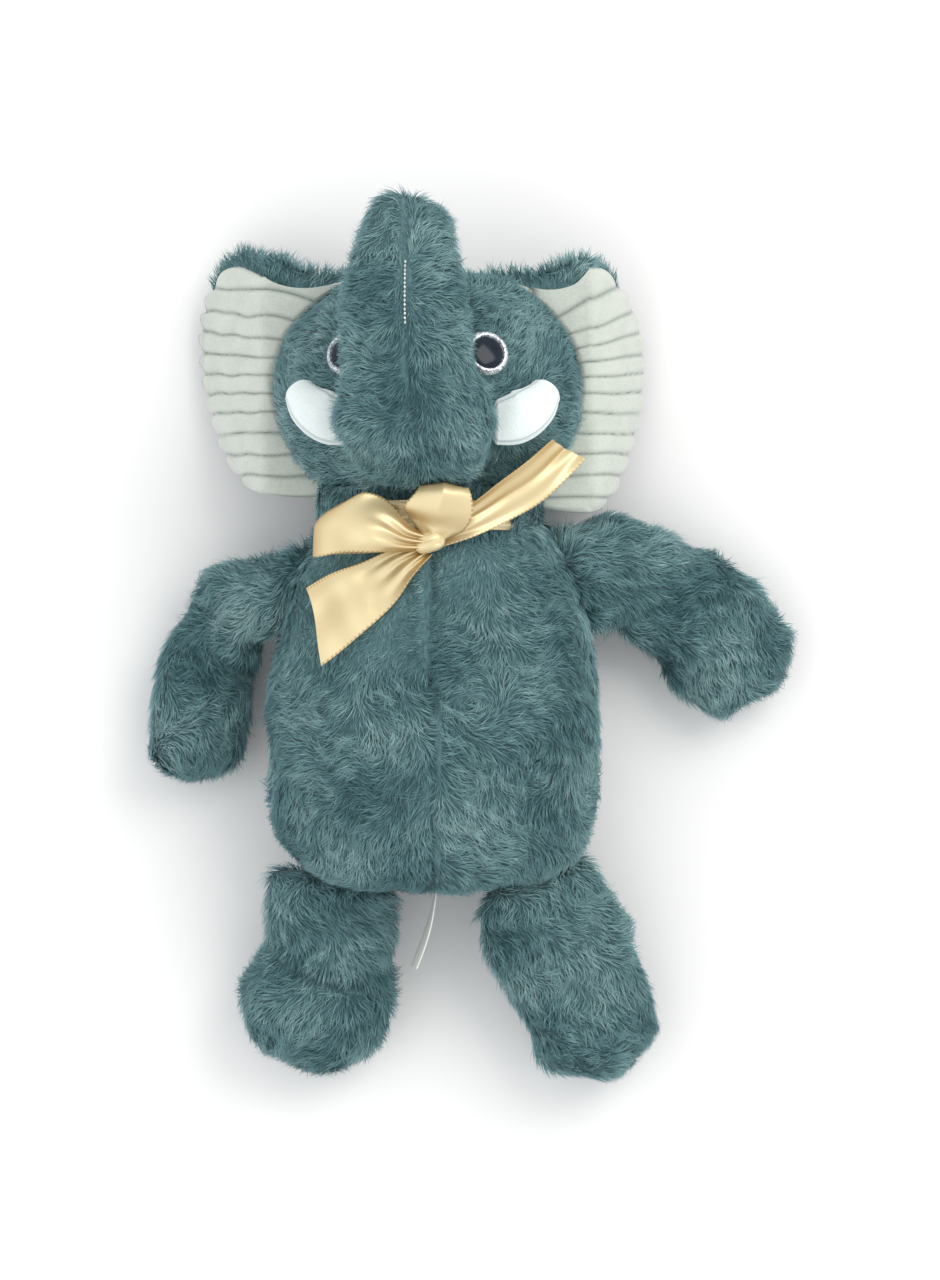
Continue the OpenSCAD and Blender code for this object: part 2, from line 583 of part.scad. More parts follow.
// ---- White hand stitches down the middle seam of the trunk
stitch_count = 8;
stitch_l = 2.4;
stitch_d = 1;
module trunk_stitches() {
    color(tusk_colour) placed() for (i = [0:stitch_count - 1])
        let(f = mix(0.42, 0.66, i / (stitch_count - 1)), k = along(trunk_keys, f))
        translate([k.x, k.y, k.z + k[4]])
            rotate([90, 0, 0]) cylinder(h = stitch_l, d = stitch_d, center = true, $fn = 16);
}

// ---- Satin ribbon: bands swept along a few points, each with the way that its width runs
// A band through rows of [point, width direction, share of the full width]
module band(rows, width) {
    n = len(rows) - 1;
    path = [for (r = rows) r[0]];
    normals = [for (i = [0:n])
        unit(cross(rows[i][1], path[min(i + 1, n)] - path[max(i - 1, 0)]))];
    function sheet(v) = [for (i = [0:n]) [for (u = [-0.5, 0.5])
        path[i] + unit(rows[i][1]) * width * rows[i][2] * u + normals[i] * ribbon_t * v]];
    slab(sheet(-0.5), sheet(0.5));
}
function smooth_rows(rows, count) = [for (i = [0:count])
    let(f = i / count)
    [along([for (r = rows) r[0]], f), along([for (r = rows) r[1]], f),
     along([for (r = rows) r[2]], f)]];

// The knot lies on the chest or on the chin, whichever stands higher
knot = [-1, -7, max(torso_h - 2, head_h - 12)];
left_loop = [
    [[-4, 1, -2], [0.1, 1, 0], 0.5], [[-18, 4, -5], [0.1, 1, 0], 0.85],
    [[-38, 8, -10], [0.1, 1, 0], 1], [[-50, 9, -9], [0.1, 1, 0], 1],
    [[-50, 9, -3], [0.1, 1, 0], 1], [[-38, 8, 1], [0.1, 1, 0], 1],
    [[-18, 4, 2], [0.1, 1, 0], 0.85], [[-4, 1, 2], [0.1, 1, 0], 0.5]
];
upper_loop = [
    [[1, 4, -1.5], [1, -0.3, 0], 0.5], [[3, 12, 1], [1, -0.3, 0], 0.9],
    [[6, 21, 1.5], [1, -0.3, 0], 1], [[7, 25, 3], [1, -0.3, 0], 1],
    [[6, 21, 4.5], [1, -0.3, 0], 1], [[3, 12, 5], [1, -0.3, 0], 0.9],
    [[1, 4, 2], [1, -0.3, 0], 0.5]
];
left_tail = [
    [[-3, -3, -2], [0.6, -0.8, 0], 0.5], [[-16, -10, -1], [0.5, -0.86, 0], 0.9],
    [[-32, -21, -5], [0.45, -0.9, 0], 1], [[-50, -32, -13], [0.25, -0.97, -0.1], 1.2]
];
right_tail = [
    [[4, 3, -1], [-0.4, 0.7, 0.2], 0.5], [[20, 13, -3], [-0.45, 0.8, 0.4], 0.9],
    [[40, 26, -8], [-0.4, 0.75, 0.6], 1], [[61, 40, -17], [-0.4, 0.6, 0.8], 1]
];
module ribbon_piece(rows, count) {
    color(satin_colour) placed() translate(knot) band(smooth_rows(rows, count), ribbon_w);
}
module bow_left_loop() { ribbon_piece(left_loop, 16); }
module bow_upper_loop() { ribbon_piece(upper_loop, 14); }
module bow_left_tail() { ribbon_piece(left_tail, 8); }
module bow_right_tail() { ribbon_piece(right_tail, 8); }
knot_size = [15, 12, 10];
module bow_knot() {
    rings = egg(knot.y + knot_size.y / 2, knot.y - knot_size.y / 2, knot_size.x, knot_size.x,
                knot_size.z / 2, knot_size.z / 2, knot.z, 0.6, 6, 12, knot.x);
    color(satin_colour) placed() filling(rings, 0);
}
// The ribbon round the neck, bunched to a narrow band between the head and the torso
neck_steps = 24;
neck_half_w = 0.36 * shoulder_w;
neck_rise = knot.z - neck_hinge.z - ribbon_t;
neck_fall = neck_hinge.z - 2 - ribbon_t;
// How far below the seam the band's lower edge lies
neck_band_drop = 0.5;
module neck_ribbon() {
    function ring(grow) = [for (i = [0:neck_steps - 1])
        let(a = 360 * i / neck_steps, r = neck_half_w + grow,
            h = (sin(a) > 0 ? neck_rise : neck_fall) + grow)
        [r * cos(a), neck_hinge.z + h * sin(a)]];
    color(satin_colour) placed() translate([0, neck_y + neck_band_w * (1 - neck_band_drop), 0])
        rotate([90, 0, 0]) linear_extrude(height = neck_band_w) difference() {
            polygon(ring(ribbon_t));
            polygon(ring(0));
        }
}

// ---- Care label, standing on edge between the legs, with its root in the seat seam
label_t = 0.6;
label_sewn_in = 2;
label_turn = -107;
module care_label() {
    root = [2, seat_y(2) + label_sewn_in, leg_z - 6];
    color(tusk_colour) placed() translate(root) rotate([0, 0, label_turn])
        translate([0, -label_t / 2, 0]) cube([label_l, label_t, label_w]);
}

torso_front_left();
torso_front_right();
torso_back();
torso_stuffing();
head_face_left();
head_face_right();
head_back();
head_stuffing();
trunk_left();
trunk_right();
trunk_top();
trunk_stuffing();
trunk_stitches();
left_ear_fur();
left_ear_lining();
right_ear_fur();
right_ear_lining();
left_tusk_front();
left_tusk_back();
left_tusk_stuffing();
right_tusk_front();
right_tusk_back();
right_tusk_stuffing();
left_eye_ring();
left_eye_pupil();
left_eye_washer();
right_eye_ring();
right_eye_pupil();
right_eye_washer();
left_arm_front();
left_arm_back();
left_arm_stuffing();
right_arm_front();
right_arm_back();
right_arm_stuffing();
left_leg_front();
left_leg_back();
left_leg_stuffing();
right_leg_front();
right_leg_back();
right_leg_stuffing();
neck_thread();
trunk_thread();
left_ear_thread();
right_ear_thread();
left_arm_thread();
right_arm_thread();
left_leg_thread();
right_leg_thread();
neck_ribbon();
bow_knot();
bow_left_loop();
bow_upper_loop();
bow_left_tail();
bow_right_tail();
care_label();
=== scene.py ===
"""Looks of a stuffed elephant that lies on its back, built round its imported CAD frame.

All shapes are worked out in millimetres of the body frame that the CAD design uses: X = 0 is the
middle of the torso, Z = 0 the surface it lies on. Plan moves them to the row frame, in metres.
"""

import logging
import math
from dataclasses import dataclass
from enum import Enum

import bpy
import numpy as np
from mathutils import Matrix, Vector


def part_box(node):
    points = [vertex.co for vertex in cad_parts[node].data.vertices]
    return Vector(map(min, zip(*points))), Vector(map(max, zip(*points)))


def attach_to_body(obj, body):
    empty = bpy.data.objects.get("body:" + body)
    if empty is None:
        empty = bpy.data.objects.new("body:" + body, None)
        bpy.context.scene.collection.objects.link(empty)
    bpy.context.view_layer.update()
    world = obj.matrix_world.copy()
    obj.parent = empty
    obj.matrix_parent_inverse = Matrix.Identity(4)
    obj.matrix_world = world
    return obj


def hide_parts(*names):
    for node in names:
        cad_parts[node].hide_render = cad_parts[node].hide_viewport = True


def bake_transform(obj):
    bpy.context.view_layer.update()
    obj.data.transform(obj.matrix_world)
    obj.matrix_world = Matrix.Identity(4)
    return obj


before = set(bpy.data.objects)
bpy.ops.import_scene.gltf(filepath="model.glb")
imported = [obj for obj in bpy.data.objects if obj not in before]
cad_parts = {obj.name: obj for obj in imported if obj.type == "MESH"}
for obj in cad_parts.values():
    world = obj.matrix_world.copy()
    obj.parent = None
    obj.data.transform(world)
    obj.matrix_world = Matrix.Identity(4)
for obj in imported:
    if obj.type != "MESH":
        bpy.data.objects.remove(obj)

LOG = logging.getLogger("elephant")
MM = 0.001
PILE = 4.0  # depth of the pressed pile, between the backing and the CAD outline
FLOOR_PRESS = 2.4  # lowest backing, where the toy's weight presses the pile flat
FLOOR_GAP = 0.35  # lowest point of a strand
BAKE_MAP = "OFBake"
COLUMN = 0.014  # width of a strand's column on the bake map

# A strand's seven points are two rings of three and a tip. Each face's corners, and their places on
# the map as a share of the column's width and a height.
STRAND_QUADS = np.array([[a, (a + 1) % 3, 3 + (a + 1) % 3, 3 + a] for a in range(3)])
STRAND_TRIANGLES = np.array([[2, 1, 0]] + [[3 + a, 3 + (a + 1) % 3, 6] for a in range(3)])
QUAD_SPOTS = np.array([[[0, 0.01], [1, 0.01], [1, 0.5], [0, 0.5]]] * 3)
TRIANGLE_SPOTS = np.array([[[0, 0], [1, 0], [0.5, 0.02]]] + [[[0, 0.5], [1, 0.5], [0.5, 0.99]]] * 3)


class Side(Enum):
    """The sides seen by someone who looks down on the belly."""

    LEFT = -1
    RIGHT = 1

    @property
    def word(self) -> str:
        """The side's name, as the CAD nodes spell it."""
        return self.name.lower()


@dataclass(frozen=True)
class Plan:
    """Where the body frame stands in the row frame, read from the torso's CAD box."""

    shift_x: float
    shift_y: float

    @classmethod
    def read(cls, neck_y: float) -> "Plan":
        """Reads the shift from the torso's back panel.

        Args:
            neck_y: Y of the torso's neck end in the body frame, in millimetres.

        Returns:
            The plan.
        """
        low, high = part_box("torso_back")
        return cls((low.x + high.x) / 2 / MM, high.y / MM - neck_y)

    def place(self, points: np.ndarray) -> np.ndarray:
        """Points of the body frame, in millimetres, as points of the row frame in metres."""
        return (points + np.array([self.shift_x, self.shift_y, 0.0])) * MM


NECK_Y = 5.5
PLAN = Plan.read(NECK_Y)


# ---- Vectors, smooth curves and smooth fields


def unit(v: np.ndarray) -> np.ndarray:
    """Vectors along the last axis, each divided by its length."""
    return v / np.maximum(np.linalg.norm(v, axis=-1, keepdims=True), 1e-9)


def ease(f: np.ndarray) -> np.ndarray:
    """The smooth step 3f^2 - 2f^3 of f clamped to 0..1."""
    g = np.clip(f, 0, 1)
    return g * g * (3 - 2 * g)


def along(keys: np.ndarray, f: np.ndarray) -> np.ndarray:
    """Catmull-Rom curve through equally spaced keys.

    Args:
        keys: One row per key.
        f: Shares of the way, from 0 at the first key to 1 at the last.

    Returns:
        One row per share.
    """
    n = len(keys) - 1
    i = np.minimum(np.floor(f * n), n - 1).astype(int)
    t = (f * n - i)[:, None]
    a, b, c, d = (keys[np.clip(i + k, 0, n)] for k in (-1, 0, 1, 2))
    return b + t * (
        (c - a) / 2 + t * ((a - 2.5 * b + 2 * c - d / 2) + t * (1.5 * b - 1.5 * c + (d - a) / 2))
    )


class Swell:
    """A smooth field over space: a seeded sum of sine waves about one wavelength long."""

    def __init__(self, seed: int, wavelength: float, waves: int = 7) -> None:
        """Draws the waves.

        Args:
            seed: Seed of the draw.
            wavelength: Usual length of a wave, in millimetres.
            waves: How many waves are summed.
        """
        rng = np.random.default_rng(seed)
        self.ways = unit(rng.normal(size=(waves, 3)))
        self.ways = self.ways * (2 * np.pi / wavelength * rng.uniform(0.7, 1.4, (waves, 1)))
        self.starts = rng.uniform(0, 2 * np.pi, waves)
        self.scale = math.sqrt(2 / waves)

    def value(self, p: np.ndarray) -> np.ndarray:
        """The field at points p: the sum of sin(way . p + start), with a spread of about 1."""
        return np.sin(p @ self.ways.T + self.starts).sum(-1) * self.scale

    def slope(self, p: np.ndarray) -> np.ndarray:
        """The field's gradient at points p, scaled to a spread of about 1."""
        size = np.linalg.norm(self.ways, axis=1).mean()
        return np.cos(p @ self.ways.T + self.starts) @ self.ways * (self.scale / size)


# ---- Meshes


def make_piece(
    name: str,
    points: np.ndarray,
    faces: list[np.ndarray],
    material: bpy.types.Material,
    uv: list[np.ndarray] | None = None,
    map_name: str = "cloth",
    fields: dict[str, np.ndarray] | None = None,
) -> bpy.types.Object:
    """Puts whole arrays into a mesh object at the origin.

    Args:
        name: The piece's name.
        points: Vertices in the row frame, in metres.
        faces: Arrays of vertex numbers, each with its own number of corners.
        material: The piece's finish.
        uv: For each array of faces, the map's places of its corners.
        map_name: Name of the UV map.
        fields: Values per vertex, by attribute name.

    Returns:
        The object, linked to the scene.
    """
    faces = [f for f in faces if len(f)]
    mesh = bpy.data.meshes.new(name)
    mesh.vertices.add(len(points))
    mesh.vertices.foreach_set("co", np.asarray(points, np.float32).ravel())
    corners = np.concatenate([f.ravel() for f in faces]).astype(np.int32)
    sizes = np.concatenate([np.full(len(f), f.shape[1]) for f in faces])
    mesh.loops.add(len(corners))
    mesh.loops.foreach_set("vertex_index", corners)
    mesh.polygons.add(len(sizes))
    starts = np.concatenate([[0], np.cumsum(sizes)[:-1]]).astype(np.int32)
    mesh.polygons.foreach_set("loop_start", starts)
    mesh.polygons.foreach_set("use_smooth", np.ones(len(sizes), bool))
    if uv is not None:
        layer = mesh.uv_layers.new(name=map_name)
        flat = np.concatenate([u.reshape(-1, 2) for u in uv]).astype(np.float32)
        layer.data.foreach_set("uv", flat.ravel())
    for field_name, values in (fields or {}).items():
        attribute = mesh.attributes.new(field_name, "FLOAT", "POINT")
        attribute.data.foreach_set("value", np.asarray(values, np.float32))
    mesh.update(calc_edges=True)
    mesh.materials.append(material)
    piece = bpy.data.objects.new(name, mesh)
    bpy.context.scene.collection.objects.link(piece)
    LOG.info("%s: %d faces", name, len(sizes))
    return piece


def outward(points: np.ndarray, faces: list[np.ndarray]) -> list[np.ndarray]:
    """Faces turned so that the closed surface holds a positive volume.

    The volume is a sixth of the sum of a . (b x c) over triangles that fan out of each face.

    Args:
        points: The vertices.
        faces: Arrays of vertex numbers.

    Returns:
        The same arrays, reversed if the volume was negative.
    """
    volume = 0.0
    for f in faces:
        for k in range(1, f.shape[1] - 1):
            a, b, c = (points[f[:, q]] for q in (0, k, k + 1))
            volume += float((a * np.cross(b, c)).sum())
    return faces if volume > 0 else [f[:, ::-1] for f in faces]


def bag_faces(rows: int, columns: int) -> tuple[list[np.ndarray], int]:
    """Faces of a closed bag: one pole, rows - 2 rings, one pole.

    Args:
        rows: Rows of the grid, both poles among them.
        columns: Points round each ring.

    Returns:
        Triangle and quad arrays, and the number of vertices.
    """
    j = np.arange(columns)
    k = (j + 1) % columns
    last = 1 + (rows - 2) * columns
    first_ring = np.stack([np.zeros_like(j), 1 + k, 1 + j], 1)
    last_ring = np.stack([np.full_like(j, last), last - columns + j, last - columns + k], 1)
    start = 1 + columns * np.arange(rows - 3)[:, None]
    quads = np.stack([start + j, start + k, start + columns + k, start + columns + j], -1)
    return [np.concatenate([first_ring, last_ring]), quads.reshape(-1, 4)], last + 1


def bag_points(grid: np.ndarray) -> np.ndarray:
    """The vertices of a bag's grid, with each pole's row as a single point."""
    return np.concatenate([grid[0].mean(0)[None], grid[1:-1].reshape(-1, 3), grid[-1].mean(0)[None]])


def grid_normals(grid: np.ndarray) -> np.ndarray:
    """Outward normals of a bag's grid: the cross product of the steps round and along it.

    Args:
        grid: Points, one row per ring.

    Returns:
        A unit normal per point.
    """
    round_it = np.roll(grid, -1, 1) - np.roll(grid, 1, 1)
    along_it = np.gradient(grid, axis=0)
    normal = unit(np.cross(round_it, along_it))
    normal[0] = unit(normal[1].mean(0))
    normal[-1] = unit(normal[-2].mean(0))
    centre = grid.mean(1, keepdims=True)
    middle = slice(len(grid) // 4, -len(grid) // 4)
    return normal * np.sign(((grid - centre) * normal)[middle].sum())


def slab(top: np.ndarray, bottom: np.ndarray) -> tuple[np.ndarray, list[np.ndarray]]:
    """A closed slab between two sheets that share their rows and columns.

    Args:
        top: Grid of points of one face.
        bottom: Grid of points of the other face.

    Returns:
        The vertices and the quads: both faces and the strip round their rim.
    """
    rows, columns = top.shape[:2]
    n = rows * columns
    index = np.arange(n).reshape(rows, columns)
    quads = np.stack([index[:-1, :-1], index[:-1, 1:], index[1:, 1:], index[1:, :-1]], -1).reshape(-1, 4)
    rim = np.concatenate([index[0, :-1], index[:-1, -1], index[-1, :0:-1], index[:0:-1, 0]])
    after = np.roll(rim, -1)
    strip = np.stack([after, rim, rim + n, after + n], 1)
    points = np.concatenate([top.reshape(-1, 3), bottom.reshape(-1, 3)])
    return points, outward(points, [np.concatenate([quads, quads[:, ::-1] + n, strip])])


# ---- Bags


def egg(
    ends: tuple[float, float],
    widths: tuple[float, float],
    heights: tuple[float, float],
    centre: tuple[float, float],
    power: float,
    rows: int = 96,
    columns: int = 144,
) -> np.ndarray:
    """An egg-shaped bag along Y, pressed flat where it rests.

    Its outline is sin(pi f) to a power times the half width or height, while Y runs from one end
    to the other as (1 - cos(pi f)) / 2. Z never falls below the pressed pile.

    Args:
        ends: Y of both ends.
        widths: Full width at both ends.
        heights: Height above and depth below the middle.
        centre: X and Z of the middle.
        power: 0.5 for a blunt bag, 1 for an ellipsoid.
        rows: Steps along the bag.
        columns: Points round it.

    Returns:
        A grid of points.
    """
    f = np.linspace(0, 1, rows + 1)[:, None]
    a = 2 * np.pi * np.arange(columns) / columns
    travel = (1 - np.cos(np.pi * f)) / 2
    reach = np.maximum(np.sin(np.pi * f), 0) ** power
    half = (widths[0] + (widths[1] - widths[0]) * travel) / 2
    x = centre[0] + half * reach * np.cos(a)
    y = ends[0] + (ends[1] - ends[0]) * travel + 0 * a
    z = centre[1] + np.where(np.sin(a) > 0, *heights) * reach * np.sin(a)
    return np.stack([x, y, np.maximum(FLOOR_PRESS, z)], -1)


@dataclass(frozen=True)
class LimbPath:
    """A limb's path: keys of x, y, z, half width and half thickness, and how its ends close."""

    keys: np.ndarray
    root_side: tuple[float, float, float]
    root_dome: float
    tip_dome: float

    def frames(self, f: np.ndarray) -> tuple[np.ndarray, np.ndarray, np.ndarray, np.ndarray]:
        """Places and frames of the path at shares f.

        The way across turns smoothly from the root's own side to square with the path.

        Args:
            f: Shares of the way.

        Returns:
            Key rows, the way ahead, the way across and the way up.
        """
        keys = along(self.keys, f)
        root = np.array(self.root_side)
        way = np.sign(self.level(np.zeros(1))[0] @ root)
        turn = ease(f * 1.6)[:, None]
        side = unit(root * (1 - turn) + self.level(f) * way * turn)
        forward = unit(self.ahead(f, 0.02))
        up = unit(np.cross(side, forward))
        return keys, forward, side, np.where(up[:, 2:] < 0, -up, up)

    def ahead(self, f: np.ndarray, step: float) -> np.ndarray:
        """Ways along the path at shares f, from a step before to a step after."""
        later, sooner = np.minimum(1, f + step), np.maximum(0, f - step)
        return (along(self.keys, later) - along(self.keys, sooner))[:, :3]

    def level(self, f: np.ndarray) -> np.ndarray:
        """Level ways across the path at shares f."""
        way = self.ahead(f, 0.01)
        return unit(np.stack([way[:, 1], -way[:, 0], 0 * way[:, 0]], -1))

    def bag(self, rows: int = 64, dome_rows: int = 14, columns: int = 96) -> np.ndarray:
        """The limb's surface: ellipses carried along the path, closed by a dome at each end.

        Args:
            rows: Steps along the path.
            dome_rows: Steps over each dome.
            columns: Points round an ellipse.

        Returns:
            A grid of points.
        """
        keys, forward, side, up = self.frames(np.linspace(0, 1, rows + 1))
        a = np.linspace(0, np.pi / 2, dome_rows + 1)[1:, None]
        tip = keys[-1, :3] + forward[-1] * self.tip_dome * np.sin(a)
        root = (keys[0, :3] - forward[0] * self.root_dome * np.sin(a))[::-1]
        centres = np.concatenate([root, keys[:, :3], tip])
        halves = np.concatenate([(keys[0, 3:] * np.cos(a))[::-1], keys[:, 3:], keys[-1, 3:] * np.cos(a)])
        side, up = (np.pad(v, ((dome_rows, dome_rows), (0, 0)), "edge") for v in (side, up))
        t = 2 * np.pi * np.arange(columns)[None, :, None] / columns
        wide, thick = halves[:, None, :1], halves[:, None, 1:]
        grid = centres[:, None] + side[:, None] * wide * np.cos(t) + up[:, None] * thick * np.sin(t)
        grid[..., 2] = np.maximum(FLOOR_PRESS, grid[..., 2])
        return grid


# ---- Fur


@dataclass(frozen=True)
class Coat:
    """How one piece of pile grows.

    Attributes:
        per_mm2: Strands per square millimetre.
        length: Length of a strand, in millimetres.
        width: Width of a strand at its root, in millimetres.
        lift: How steeply a strand leaves the backing.
        clump: How far tips lean together into locks, in millimetres.
    """

    per_mm2: float = 0.93
    length: float = 9.0
    width: float = 0.58
    lift: float = 0.4
    clump: float = 1.5


class Fur:
    """Pile grown on part of a bag's grid, as closed three-sided strands that bend and taper."""

    def __init__(self, seed: int) -> None:
        """Draws the fields that part the pile into locks and vary its shade.

        Args:
            seed: Seed of the draw.
        """
        self.rng = np.random.default_rng(seed)
        self.locks = Swell(seed + 1, 9.0, 9)
        self.small_locks = Swell(seed + 2, 4.2, 9)
        self.patches = Swell(seed + 3, 42.0)
        self.turns = Swell(seed + 4, 58.0)
        self.waves = Swell(seed + 5, 16.0)

    def turned(self, nap: np.ndarray, normal: np.ndarray, p: np.ndarray, swirl: float) -> np.ndarray:
        """The nap laid in the surface and turned about its normal by a smooth random angle.

        Args:
            nap: Ways that the pile is combed.
            normal: Outward normals.
            p: Roots.
            swirl: The angle's usual size, in radians.

        Returns:
            Unit ways along the surface.
        """
        flat = unit(nap - normal * (nap * normal).sum(-1, keepdims=True))
        angle = swirl * (self.turns.value(p) + 0.32 * self.waves.value(p))[:, None]
        angle = angle + self.rng.normal(0, 0.16, (len(p), 1))
        return flat * np.cos(angle) + np.cross(normal, flat) * np.sin(angle)

    def roots(
        self, grid: np.ndarray, normals: np.ndarray, share: np.ndarray, per_mm2: float
    ) -> tuple[np.ndarray, np.ndarray]:
        """Scatters roots evenly over a grid: cells are taken along the running sum of their area.

        Args:
            grid: Points of the surface.
            normals: Its normals.
            share: For each cell, its share of the full density.
            per_mm2: The full density.

        Returns:
            Roots and their normals.
        """
        corner = [grid[:-1, :-1], grid[:-1, 1:], grid[1:, :-1], grid[1:, 1:]]
        facing = [normals[:-1, :-1], normals[:-1, 1:], normals[1:, :-1], normals[1:, 1:]]
        size = np.linalg.norm(np.cross(corner[3] - corner[0], corner[2] - corner[1]), axis=-1) / 2
        total = np.cumsum((size * share).ravel())
        count = int(total[-1] * per_mm2)
        spots = (np.arange(count) + self.rng.uniform(0, 1, count)) / count * total[-1]
        cell = np.minimum(np.searchsorted(total, spots), total.size - 1)
        u, v = self.rng.uniform(0, 1, (2, count, 1))
        weights = [(1 - u) * (1 - v), u * (1 - v), (1 - u) * v, u * v]
        p = sum(w * c.reshape(-1, 3)[cell] for w, c in zip(weights, corner))
        n = sum(w * c.reshape(-1, 3)[cell] for w, c in zip(weights, facing))
        return p, unit(n)

    def grow(
        self,
        name: str,
        p: np.ndarray,
        normal: np.ndarray,
        nap: np.ndarray,
        coat: Coat,
        material: bpy.types.Material,
        swirl: float = 0.5,
        scale: np.ndarray | float = 1.0,
        lie: np.ndarray | float = 1.0,
        groove_shade: np.ndarray | float = 0.0,
    ) -> bpy.types.Object:
        """Grows the strands and makes them a piece.

        A strand's middle line is root + length (lift (1.25 t - 0.6 t^2) normal + t nap) and a lean
        of t^1.6 towards the nearest lock; its width falls as (1 - t)^0.6. Its shade is a column of
        the bake map: darker between locks and along seams as painted shade, with random variation
        of the dye, and t runs up that column.

        Args:
            name: The piece's name.
            p: Roots, in millimetres.
            normal: Their normals.
            nap: Ways that the pile is combed, one row per root.
            coat: How the pile grows.
            material: Its finish.
            swirl: How much the nap turns, in radians.
            scale: Share of the full length, per root.
            lie: Share of the full lift, per root.
            groove_shade: Added shade, per root.

        Returns:
            The piece.
        """
        count = len(p)
        draw = self.rng
        way = self.turned(nap, normal, p, swirl)
        across = np.cross(normal, way)
        lock = self.locks.value(p) * 0.7 + self.small_locks.value(p) * 0.5
        length = coat.length * draw.uniform(0.7, 1.12, (count, 1)) * np.reshape(scale, (-1, 1))
        steep = 1 + 0.18 * lock[:, None] + draw.normal(0, 0.2, (count, 1))
        lift = np.clip(coat.lift * np.reshape(lie, (-1, 1)) * steep, 0.06, 1.1)
        lean = self.locks.slope(p) + 0.5 * self.small_locks.slope(p)
        lean = lean - normal * (lean * normal).sum(-1, keepdims=True)
        lean = lean * coat.clump * np.reshape(scale, (-1, 1))
        bend = draw.normal(0, 0.2, (count, 1)) + 0.24 * self.waves.value(p)[:, None]
        t = np.array([0.0, 0.5, 1.0])[:, None, None]
        forward = t * np.sqrt(np.maximum(0.2, 1 - (0.7 * lift) ** 2))
        rise = normal * lift * (1.25 * t - 0.6 * t * t)
        middle = p + length * (rise + way * forward + across * bend * t * t)
        middle = middle + lean * t**1.6 - normal * 0.5 * (1 - t)
        half = (coat.width / 2 * draw.uniform(0.7, 1.25, (count, 1)) * (1 - t) ** 0.6)[:2]
        low = middle[:2]
        rings = np.stack([low + across * half, low - across * half, low + normal * half * 0.9], axis=2)
        points = np.concatenate([rings.transpose(1, 0, 2, 3).reshape(count, -1, 3), middle[2][:, None]], 1)
        points[..., 2] = np.maximum(points[..., 2], FLOOR_GAP)
        # Painted shade: strands are darker between locks and along seams; patches and the draw are random
        # variation of the dye.
        shade = 0.5 + 0.1 * lock + 0.12 * self.patches.value(p) + draw.normal(0, 0.13, count) + groove_shade
        column = 0.01 + np.clip(shade, 0.0, 1.0) * (0.97 - COLUMN)
        start = points.shape[1] * np.arange(count)[:, None, None]
        faces = [(start + f[None]).reshape(-1, f.shape[1]) for f in (STRAND_QUADS, STRAND_TRIANGLES)]
        flat = points.reshape(-1, 3)
        turned = outward(flat, faces)
        maps = strand_maps(column)
        if turned[0] is not faces[0]:
            maps = [m[:, ::-1] for m in maps]
        return make_piece(name, PLAN.place(flat), turned, material, maps, BAKE_MAP)


def strand_maps(column: np.ndarray) -> list[np.ndarray]:
    """Places on the bake map of every strand's quads and triangles.

    Args:
        column: Left edge of each strand's column.

    Returns:
        One array for the quads and one for the triangles, with a row per face.
    """
    maps = []
    for spots in (QUAD_SPOTS, TRIANGLE_SPOTS):
        u = column[:, None, None] + COLUMN * spots[..., 0]
        maps.append(np.stack(np.broadcast_arrays(u, spots[..., 1]), -1).reshape(-1, spots.shape[1], 2))
    return maps


# ---- Finishes


def linear(code: str) -> tuple[float, float, float, float]:
    """An sRGB hex colour as linear light: (c / 12.92) when dark, else ((c + 0.055) / 1.055)^2.4."""
    parts = [int(code[i : i + 2], 16) / 255 for i in (1, 3, 5)]
    return (*(c / 12.92 if c <= 0.04045 else ((c + 0.055) / 1.055) ** 2.4 for c in parts), 1.0)


def add_node(
    tree: bpy.types.NodeTree,
    kind: str,
    links: dict[str | int, object] | None = None,
    stops: list[tuple[float, str]] | None = None,
    **settings: object,
) -> bpy.types.Node:
    """Adds one node with its settings and links.

    Args:
        tree: The material's tree.
        kind: The node's type.
        links: For each input, a value or another node's output.
        stops: For a ramp, its places and hex colours.
        **settings: The node's own properties.

    Returns:
        The node.
    """
    made = tree.nodes.new(kind)
    for name, value in settings.items():
        setattr(made, name, value)
    for place, (spot, code) in enumerate(stops or []):
        ramp = made.color_ramp.elements
        stop = ramp[place] if place < 2 else ramp.new(spot)
        stop.position, stop.color = spot, linear(code)
    for name, value in (links or {}).items():
        socket = made.inputs[name]
        if isinstance(value, bpy.types.NodeSocket):
            tree.links.new(value, socket)
        else:
            socket.default_value = value
    return made


